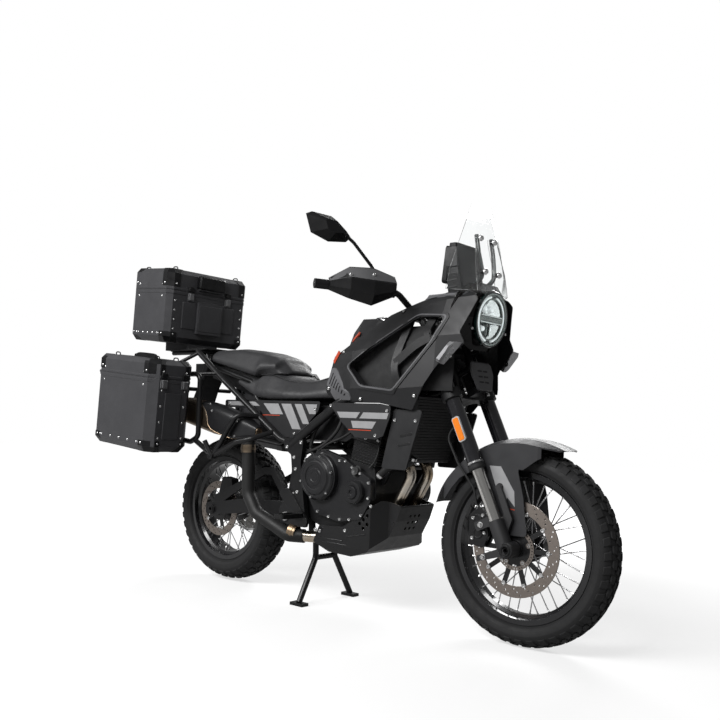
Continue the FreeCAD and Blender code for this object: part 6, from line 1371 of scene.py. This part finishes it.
def body_loft(rows):
    """A closed body lofted along X. Each row is (x, low z, high z, half width low, half width high)."""
    rings = []
    for x, low, high, wide, narrow in rows:
        soft = min((high - low) * 0.3, 14)
        rings.append([(x, -wide, low), (x, -wide, low + soft), (x, -narrow, high - soft),
                      (x, -narrow + soft, high), (x, narrow - soft, high), (x, narrow, high - soft),
                      (x, wide, low + soft), (x, wide, low)])
    rings = np.array(rings, float)
    ends = [np.broadcast_to(ring.mean(0), ring.shape)[None] for ring in (rings[0], rings[-1])]
    return grid(np.concatenate([ends[0], rings, ends[1]]), around=True)


def coords(mesh):
    """The mesh's points in metres, a row each."""
    flat = np.empty(len(mesh.vertices) * 3)
    mesh.vertices.foreach_get("co", flat)
    return flat.reshape(-1, 3)


def cushion(node, swell, shrink, cap, frames, extra=((), ())):
    """Foam under its cover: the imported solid, with any extra shape, is merged, remeshed and pressed in by
    shrink, then blown up as cloth with no gravity. No point may move farther than the cap from its
    start."""
    mesh = NODES[node].data.copy()
    merged(mesh, 1e-5, ([(p + (AHEAD, 0, 0)) / 1000 for p in extra[0]], extra[1]))
    pad = bpy.data.objects.new(node + "_cushion", mesh)
    scene.collection.objects.link(pad)
    grain = pad.modifiers.new("even", "REMESH")
    grain.mode = "VOXEL"
    grain.voxel_size = 0.0065
    smooth = pad.modifiers.new("relax", "SMOOTH")
    smooth.factor = 0.5
    smooth.iterations = 24
    pull = pad.modifiers.new("pull", "DISPLACE")
    pull.strength = -shrink
    pull.mid_level = 0.0
    graph = bpy.context.evaluated_depsgraph_get()
    even = bpy.data.meshes.new_from_object(pad.evaluated_get(graph))
    pad.modifiers.clear()
    pad.data = even
    start = coords(even)
    cloth = pad.modifiers.new("foam", "CLOTH")
    cloth.settings.quality = 4
    cloth.settings.use_pressure = True
    cloth.settings.uniform_pressure_force = swell
    cloth.settings.effector_weights.gravity = 0.0
    cloth.settings.tension_stiffness = 40
    cloth.settings.compression_stiffness = 40
    cloth.settings.bending_stiffness = 60
    cloth.point_cache.frame_end = frames
    for step in range(1, frames + 1):
        scene.frame_set(step)
    graph = bpy.context.evaluated_depsgraph_get()
    blown = bpy.data.meshes.new_from_object(pad.evaluated_get(graph))
    pad.modifiers.clear()
    move = coords(blown) - start
    length = np.linalg.norm(move, axis=1, keepdims=True)
    start = start + move * np.minimum(1, cap / np.maximum(length, 1e-9))
    scene.frame_set(1)
    even.vertices.foreach_set("co", start.ravel())
    even.update()
    even.materials.clear()
    even.materials.append(seat_cover)
    even.polygons.foreach_set("use_smooth", np.ones(len(even.polygons), bool))
    round_off = pad.modifiers.new("round", "SUBSURF")
    round_off.levels = 1
    round_off.render_levels = 1
    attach(pad, "chassis")
    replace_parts(pad, node)


step = body_loft([(-800, 968, 1005, 84, 82), (-700, 945, 1005, 92, 90), (-620, 925, 1005, 99, 95),
                  (-560, 912, 1003, 104, 98), (-490, 905, 1000, 107, 99), (-440, 905, 992, 107, 92),
                  (-404, 908, 978, 104, 80), (-376, 908, 955, 100, 68), (-350, 908, 925, 90, 52)])
cushion("rider_seat", 1.2, 0.001, 0.003, 12)
cushion("passenger_seat", 1.2, 0.001, 0.003, 12, step)

# a dark moulded pan carries both seats on the rear frame, over the battery's box
pan = body_loft([(-836, 900, 962, 76, 74), (-740, 880, 966, 84, 80), (-600, 836, 950, 88, 86),
                 (-480, 800, 905, 88, 88), (-330, 792, 868, 88, 88), (-200, 792, 850, 84, 84)])
make("seat_pan", pan, "chassis", "plastic_black", thin_black)
battery_box = body_loft([(-500, 672, 800, 86, 88), (-360, 660, 800, 92, 94), (-240, 640, 800, 92, 94),
                         (-180, 660, 800, 84, 84)])
make("battery_box", battery_box, "chassis", "plastic_black", thin_black)

# piping along the seams: where each cushion's side turns into its top
rider_seam = flowing([(-474, -110, 909), (-400, -114, 909), (-300, -106, 883), (-200, -86, 877),
                      (-110, -60, 903)], 10)
pillion_seam = flowing([(-352, -86, 917), (-404, -102, 915), (-490, -105, 912), (-560, -100, 918),
                        (-640, -92, 932), (-740, -88, 952)], 10)
welt = round_outline(1.6, 8)
# The piping takes the darker copy of the cover, as painted shade along the seams.
make("seat_piping", both(joined(swept(rider_seam, welt), swept(pillion_seam, welt))), "chassis",
     "seat_cover", seam_piping_shade, crease=60)

# ---------------------------------------------------------------- side panels and their stripes
# Flat mouldings under the seat and the tank, painted with slanted grey bars and a thin red line.
# The fender's cheeks carry a patch of the same paint.
stripe_grey = coat_finish("stripe_grey", (0.27, 0.27, 0.275), 0.45, grain=900, relief=0.00003, cloud=30,
                          soft=0)
REAR_PANEL_Y = -145.2
FRONT_PANEL_Y = -190.2


def side_decal(outline, y):
    """A thin painted patch on an upright side at y, from its outline of (x, z)."""
    return plate(outline, 0.5, (0, y, 0), FORWARD, UP, bevel=0.2, sink=0.3)


rear_stripes = [[(-640, 796), (-470, 796), (-440, 779), (-640, 779)],
                [(-418, 790), (-330, 790), (-300, 747), (-372, 747)],
                [(-312, 790), (-256, 790), (-196, 690), (-244, 690)],
                [(-236, 790), (-196, 790), (-150, 712), (-186, 712)],
                [(-176, 790), (-112, 790), (-118, 752), (-152, 752)]]
front_stripes = [[(36, 764), (150, 764), (132, 742), (52, 742)],
                 [(166, 764), (284, 764), (276, 742), (148, 742)],
                 [(108, 732), (228, 732), (210, 706), (118, 706)]]
stripes = [side_decal(line, REAR_PANEL_Y) for line in rear_stripes]
stripes += [side_decal(line, FRONT_PANEL_Y) for line in front_stripes]
make("panel_stripes", both(joined(*stripes)), "chassis", "plastic_charcoal", stripe_grey)
red_lines = joined(side_decal([(-420, 744), (-320, 744), (-318, 741), (-418, 741)], REAR_PANEL_Y),
                   side_decal([(96, 701), (206, 701), (204, 698), (98, 698)], FRONT_PANEL_Y))
make("panel_lines", both(red_lines), "chassis", "signal_lens", tab_red)
panel_heads = [(x, REAR_PANEL_Y, z) for x, z in ((-630, 786), (-120, 772), (-232, 672))]
panel_heads += [(x, FRONT_PANEL_Y, z) for x, z in ((4, 786), (276, 772), (226, 682))]
bolt_pair("panel_screws", panel_heads, RIGHT, socket_bolt(6.5, 4), "chassis")

# fender's flashes: a slanted grey patch on each cheek, with the same red line
CHEEK_PAINT_Y = -FENDER_CHEEK_Y - 0.2
flash = side_decal([(640, 600), (684, 600), (738, 520), (742, 470), (712, 500), (706, 470), (672, 520)],
                   CHEEK_PAINT_Y)
make("fender_flashes", both(flash), "fork", "plastic_charcoal", stripe_grey)
fender_line = side_decal([(704, 466), (742, 462), (742, 459), (702, 463)], CHEEK_PAINT_Y)
make("fender_lines", both(fender_line), "fork", "signal_lens", tab_red)

# ---------------------------------------------------------------- luggage cases
# Folded aluminium boxes, powder-coated black: moulded corner guards on bright rivets, lipped rims, two
# latches on the front of each, tie-down loops on the lids and carrying handles. Lids hinge at the rear.
case_coat = coat_finish("case_coat", (0.044, 0.044, 0.047), 0.36, grain=1500, relief=0.00008, edge_wear_and_highlight=0.06)
guard_black = coat_finish("guard_black", (0.005, 0.005, 0.0055), 0.34, grain=1100, relief=0.00015, soft=0)
latch_grey = coat_finish("latch_grey", (0.16, 0.16, 0.165), 0.36, metal=0.6, grain=600, relief=0.00005,
                         soft=0)
dress(case_coat, "top_case", "top_case_lid")


def slim_copy(node, body):
    """The side case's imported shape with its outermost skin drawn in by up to 4.5 mm, so that rivets and
    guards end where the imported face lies."""
    mesh = NODES[node].data.copy()
    merged(mesh, 1e-5, outward=False)
    points = coords(mesh)
    proud = np.maximum(np.abs(points[:, 1]) - 0.4855, 0)
    points[:, 1] -= np.sign(points[:, 1]) * proud * 0.31
    mesh.vertices.foreach_set("co", points.ravel())
    mesh.materials.clear()
    mesh.materials.append(case_coat)
    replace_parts(placed(node + "_shell", mesh, body, "case_black"), node)


for side_name in ("left", "right"):
    slim_copy("side_case_" + side_name, "chassis")
    slim_copy("side_case_lid_" + side_name, side_name + "_lid")

TOP_X = -1136.8
TOP = (TOP_X - 142, TOP_X + 142, -228.0, 228.0, 1068.0, 1302.0, 1398.0, 24.0)
SIDE = (-1124.0, -706.0, 285.0, 495.5, 588.0, 890.0, 968.0, 36.0)
CASES = {"top": (TOP, (TOP_X, 1068.0), 4.5), "side": (SIDE, (-915.0, 740.0), 5.0)}


def leant(shape, centre, degrees):
    """The shape turned about the Y axis through centre (x, z), its top toward the front."""
    points = shape[0].copy()
    x, z = points[:, 0] - centre[0], points[:, 2] - centre[1]
    c, s = math.cos(math.radians(degrees)), math.sin(math.radians(degrees))
    points[:, 0] = centre[0] + x * c + z * s
    points[:, 2] = centre[1] - x * s + z * c
    return points, shape[1], shape[2]


def rim_run(box, corners, rows, thick):
    """A strip of sheet along the case's outline. Each row is (z, inset); the strip's inner wall lies thick
    further in. The outline's corners are asked for at each row's own inset, and both ends are closed."""
    outer = np.array([corners(box, i, z) for z, i in rows])
    inner = np.array([corners(box, i + thick, z) for z, i in rows])
    loop = np.concatenate([outer, inner[::-1]])
    shut = np.concatenate([inner, inner[::-1]])
    loop = np.concatenate([shut[:, :1], loop, shut[:, -1:]], 1)
    return grid(loop, along=True)


def corner_points(sx, sy, long_x, long_y):
    """A rule for rim_run: four points round one upright corner, from long_x before its flat to long_y
    after."""
    def corners(box, i, z):
        x0, x1, y0, y1, z0, z1, z2, chamfer = box
        cut = chamfer - 0.586 * i
        x = x1 - i if sx > 0 else x0 + i
        y = y1 - i if sy > 0 else y0 + i
        return [(x - sx * (chamfer + long_x), y, z), (x - sx * cut, y, z), (x, y - sy * cut, z),
                (x, y - sy * (chamfer + long_y), z)]
    return corners


def front_run(box, i, z):
    """A rule for rim_run: from the rear of one side, round the front, to the rear of the other side."""
    x0, x1, y0, y1, z0, z1, z2, chamfer = box
    cut = chamfer - 0.586 * i
    x, low, high = x1 - i, y0 + i, y1 - i
    return [(x0 + 40, low, z), (x - cut, low, z), (x, low + cut, z), (x, high - cut, z), (x - cut, high, z),
            (x0 + 40, high, z)]


rivet = turned([(0, 1.9), (2.4, 1.6), (4.0, 0.8), (4.6, 0), (4.6, -1), (0, -1)], 12)


def riveted(spots):
    """A rivet at each (place, outward direction)."""
    return strewn(rivet, [place for place, out in spots], facing([out for place, out in spots]))


def side_rivets(box):
    """The rivets of a case's two sides: a row along the floor, two at the rim, and two through each corner
    guard. The first list stays on the case, the second rises with the lid."""
    x0, x1, y0, y1, z0, z1, z2, chamfer = box
    rim_x = (x0 + chamfer + 30, x1 - chamfer - 30)
    guard_x = (x0 + chamfer + 12, x1 - chamfer - 12)
    low, high = [], []
    for y, out in ((y0, RIGHT), (y1, LEFT)):
        proud = y + 2.2 * out[1]
        low += [((x, y, z0 + 36), out) for x in np.linspace(x0 + chamfer + 44, x1 - chamfer - 44, 5)]
        low += [((x, y, z), out) for x in rim_x for z in (z1 - 30, z0 + 36)]
        low += [((x, proud, z0 + 36), out) for x in guard_x]
        high += [((x, y, z1 + 24), out) for x in rim_x] + [((x, proud, z1 + 30), out) for x in guard_x]
    return low, high


def front_rivets(box):
    """The rivets of a case's front: a column of four inside each corner, and one through each guard."""
    x0, x1, y0, y1, z0, z1, z2, chamfer = box
    low, high = [], []
    for y in (y0 + chamfer + 12, y1 - chamfer - 12):
        low += [((x1, y, z), FORWARD) for z in np.linspace(z0 + 60, z1 - 46, 4)]
        low.append(((x1 + 2.2, y, z0 + 36), FORWARD))
        high.append(((x1 + 2.2, y, z1 + 30), FORWARD))
    return low, high


def loop_wire(centre, half, tall, radius, along):
    """A tie-down loop: wire bent through a flat arch that stands on the lid."""
    along = np.asarray(along, float)
    arch = [(-half, -3), (-half, tall * 0.6), (-half * 0.6, tall), (half * 0.6, tall), (half, tall * 0.6),
            (half, -3)]
    points = [centre + along * run + (0, 0, rise) for run, rise in arch]
    arch_side = np.cross(along, UP) + (0.01, 0.01, 0)
    return swept(flowing(points, 6), round_outline(radius, 8), spin=arch_side)


def front_plate(outline, corner, height, centre, bevel, sink=0.5):
    """A pressing on a case's front, its outline of (y, z) rounded at the corners."""
    return plate(rounded_line(outline, corner), height, centre, LEFT, UP, bevel=bevel, sink=sink)


def lid_rib(outline, corner, height, centre, bevel):
    """A raised rib along a lid's top, its outline of (x, y) rounded at the corners."""
    return plate(rounded_line(outline, corner), height, centre, FORWARD, LEFT, bevel=bevel, sink=0.5)


def latch(x, y, z1):
    """The two halves of a latch on a case's front: catch plate and lever below the seam, hook above it."""
    low = joined(front_plate(oblong(17, 17), 4, 4, (x, y, z1 - 22), 1.2, 1),
                 front_plate(oblong(12, 16, 13), 4, 10, (x, y, z1 - 20), 2.5, 1))
    return low, front_plate(oblong(16, 10.5, 14), 4, 7, (x, y, z1 + 13.5), 2, 1)


for kind, (box, centre, tilt) in CASES.items():
    x0, x1, y0, y1, z0, z1, z2, chamfer = box
    top = kind == "top"
    long_y = 34 if top else 20
    feet, caps = [], []
    for sx, sy in ((-1, -1), (-1, 1), (1, -1), (1, 1)):
        corner = corner_points(sx, sy, 30, long_y)
        out = 0.4 if sx < 0 and top else -2.2
        feet.append(rim_run(box, corner, [(z0 + 46, out), (z0 + 24, out), (z0 - 1.2, 17.5), (z0 - 1.2, 34)],
                            3.0))
        caps.append(rim_run(box, corner, [(z1 + 18, out), (z2 - 19, out), (z2 + 1.4, 14.5), (z2 + 1.4, 40)],
                            3.0))
    rim_low = rim_run(box, front_run, [(z1 - 17, -0.4), (z1 - 15, -1.8), (z1 - 4, -1.8), (z1 - 2.5, -0.4)],
                      1.5)
    rim_high = rim_run(box, front_run, [(z1 + 2.5, -0.4), (z1 + 4, -2.0), (z1 + 12, -2.0), (z1 + 14, -0.4)],
                       1.5)
    body_rivets, lid_rivets = [riveted(side + front)
                               for side, front in zip(side_rivets(box), front_rivets(box))]
    middle = (y0 + y1) / 2
    latch_gap = 108 if top else 52
    catches = [latch(x1 + 1.5, middle + side * latch_gap, z1) for side in (-1, 1)]
    if top:
        frame_line = [(-150, -62), (150, -62), (150, 60), (96, 60), (84, 72), (-84, 72), (-96, 60),
                      (-150, 60)]
        frames = [front_plate(frame_line, 6, 3.2, (x1, 0, z0 + 128), 2.2),
                  front_plate(oblong(66, 60), 10, 1.2, (x1 + 16, 0, z0 + 122), 1.0)]
        pad = front_plate(oblong(78, 31, 74), 12, 12, (x1 + 12, 0, z1 + 51), 6, 12)
        ribs_on_top = [lid_rib(oblong(92, 6), 5, 2.6, (TOP_X, y, z2), 1.8) for y in (-110, -55, 0, 55, 110)]
        loop_spots = [(TOP_X + x, y) for x in (-104, 104) for y in (-176, 176)]
    else:
        frames = [front_plate(oblong(40, 96), 8, 2.4, (x1, middle, z0 + 150), 1.6)]
        handle = [(-985, -2), (-980, 6), (-962, 11), (-868, 11), (-850, 6), (-845, -2)]
        pad = swept(flowing([(x, middle, z2 + rise) for x, rise in handle], 6), lozenge(9, 4, 10),
                    spin=(0.01, 1, 0))
        ribs_on_top = [lid_rib(oblong(110, 5), 4, 2.2, (-915, y, z2), 1.6) for y in (y0 + 48, y1 - 48)]
        loop_spots = [(x, y) for x in (x0 + 66, x1 - 66) for y in (y0 + 58, y1 - 58)]
    loops = [loop_wire(np.array([x, y, z2]), 15, 11, 2.6, FORWARD) for x, y in loop_spots]
    fixed = {"guards": (joined(*feet), guard_black, "plastic_black"),
             "rim": (rim_low, case_coat, "case_black"),
             "rivets": (body_rivets, zinc, "spoke_steel"),
             "panel": (joined(*frames), case_coat, "case_black"),
             "catches": (joined(*[low for low, high in catches]), latch_grey, "case_black")}
    moving = {"lid_guards": (joined(*caps), guard_black, "plastic_black"),
              "lid_rim": (rim_high, case_coat, "case_black"),
              "lid_rivets": (lid_rivets, zinc, "spoke_steel"),
              "lid_hooks": (joined(*[high for low, high in catches]), guard_black, "plastic_black"),
              "lid_pad": (pad, guard_black, "plastic_black"),
              "lid_ribs": (joined(*ribs_on_top), case_coat, "case_black"),
              "lid_loops": (joined(*loops), guard_black, "plastic_black")}
    for tag in ("top",) if top else ("left", "right"):
        for group, body in ((fixed, "chassis"), (moving, tag + "_lid")):
            for part_name, (shape, mat, slot_name) in group.items():
                shape = leant(shape, centre, tilt)
                make(tag + "_case_" + part_name, flipped(shape) if tag == "right" else shape, body,
                     slot_name, mat)

# ---------------------------------------------------------------- windscreen
# One sheet of clear acrylic, bowed across and bolted to two arms of the instrument mast.
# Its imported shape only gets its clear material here.
dress(clear_finish("screen_clear", (0.97, 0.985, 0.985), 0.02, 1.3), "windscreen")
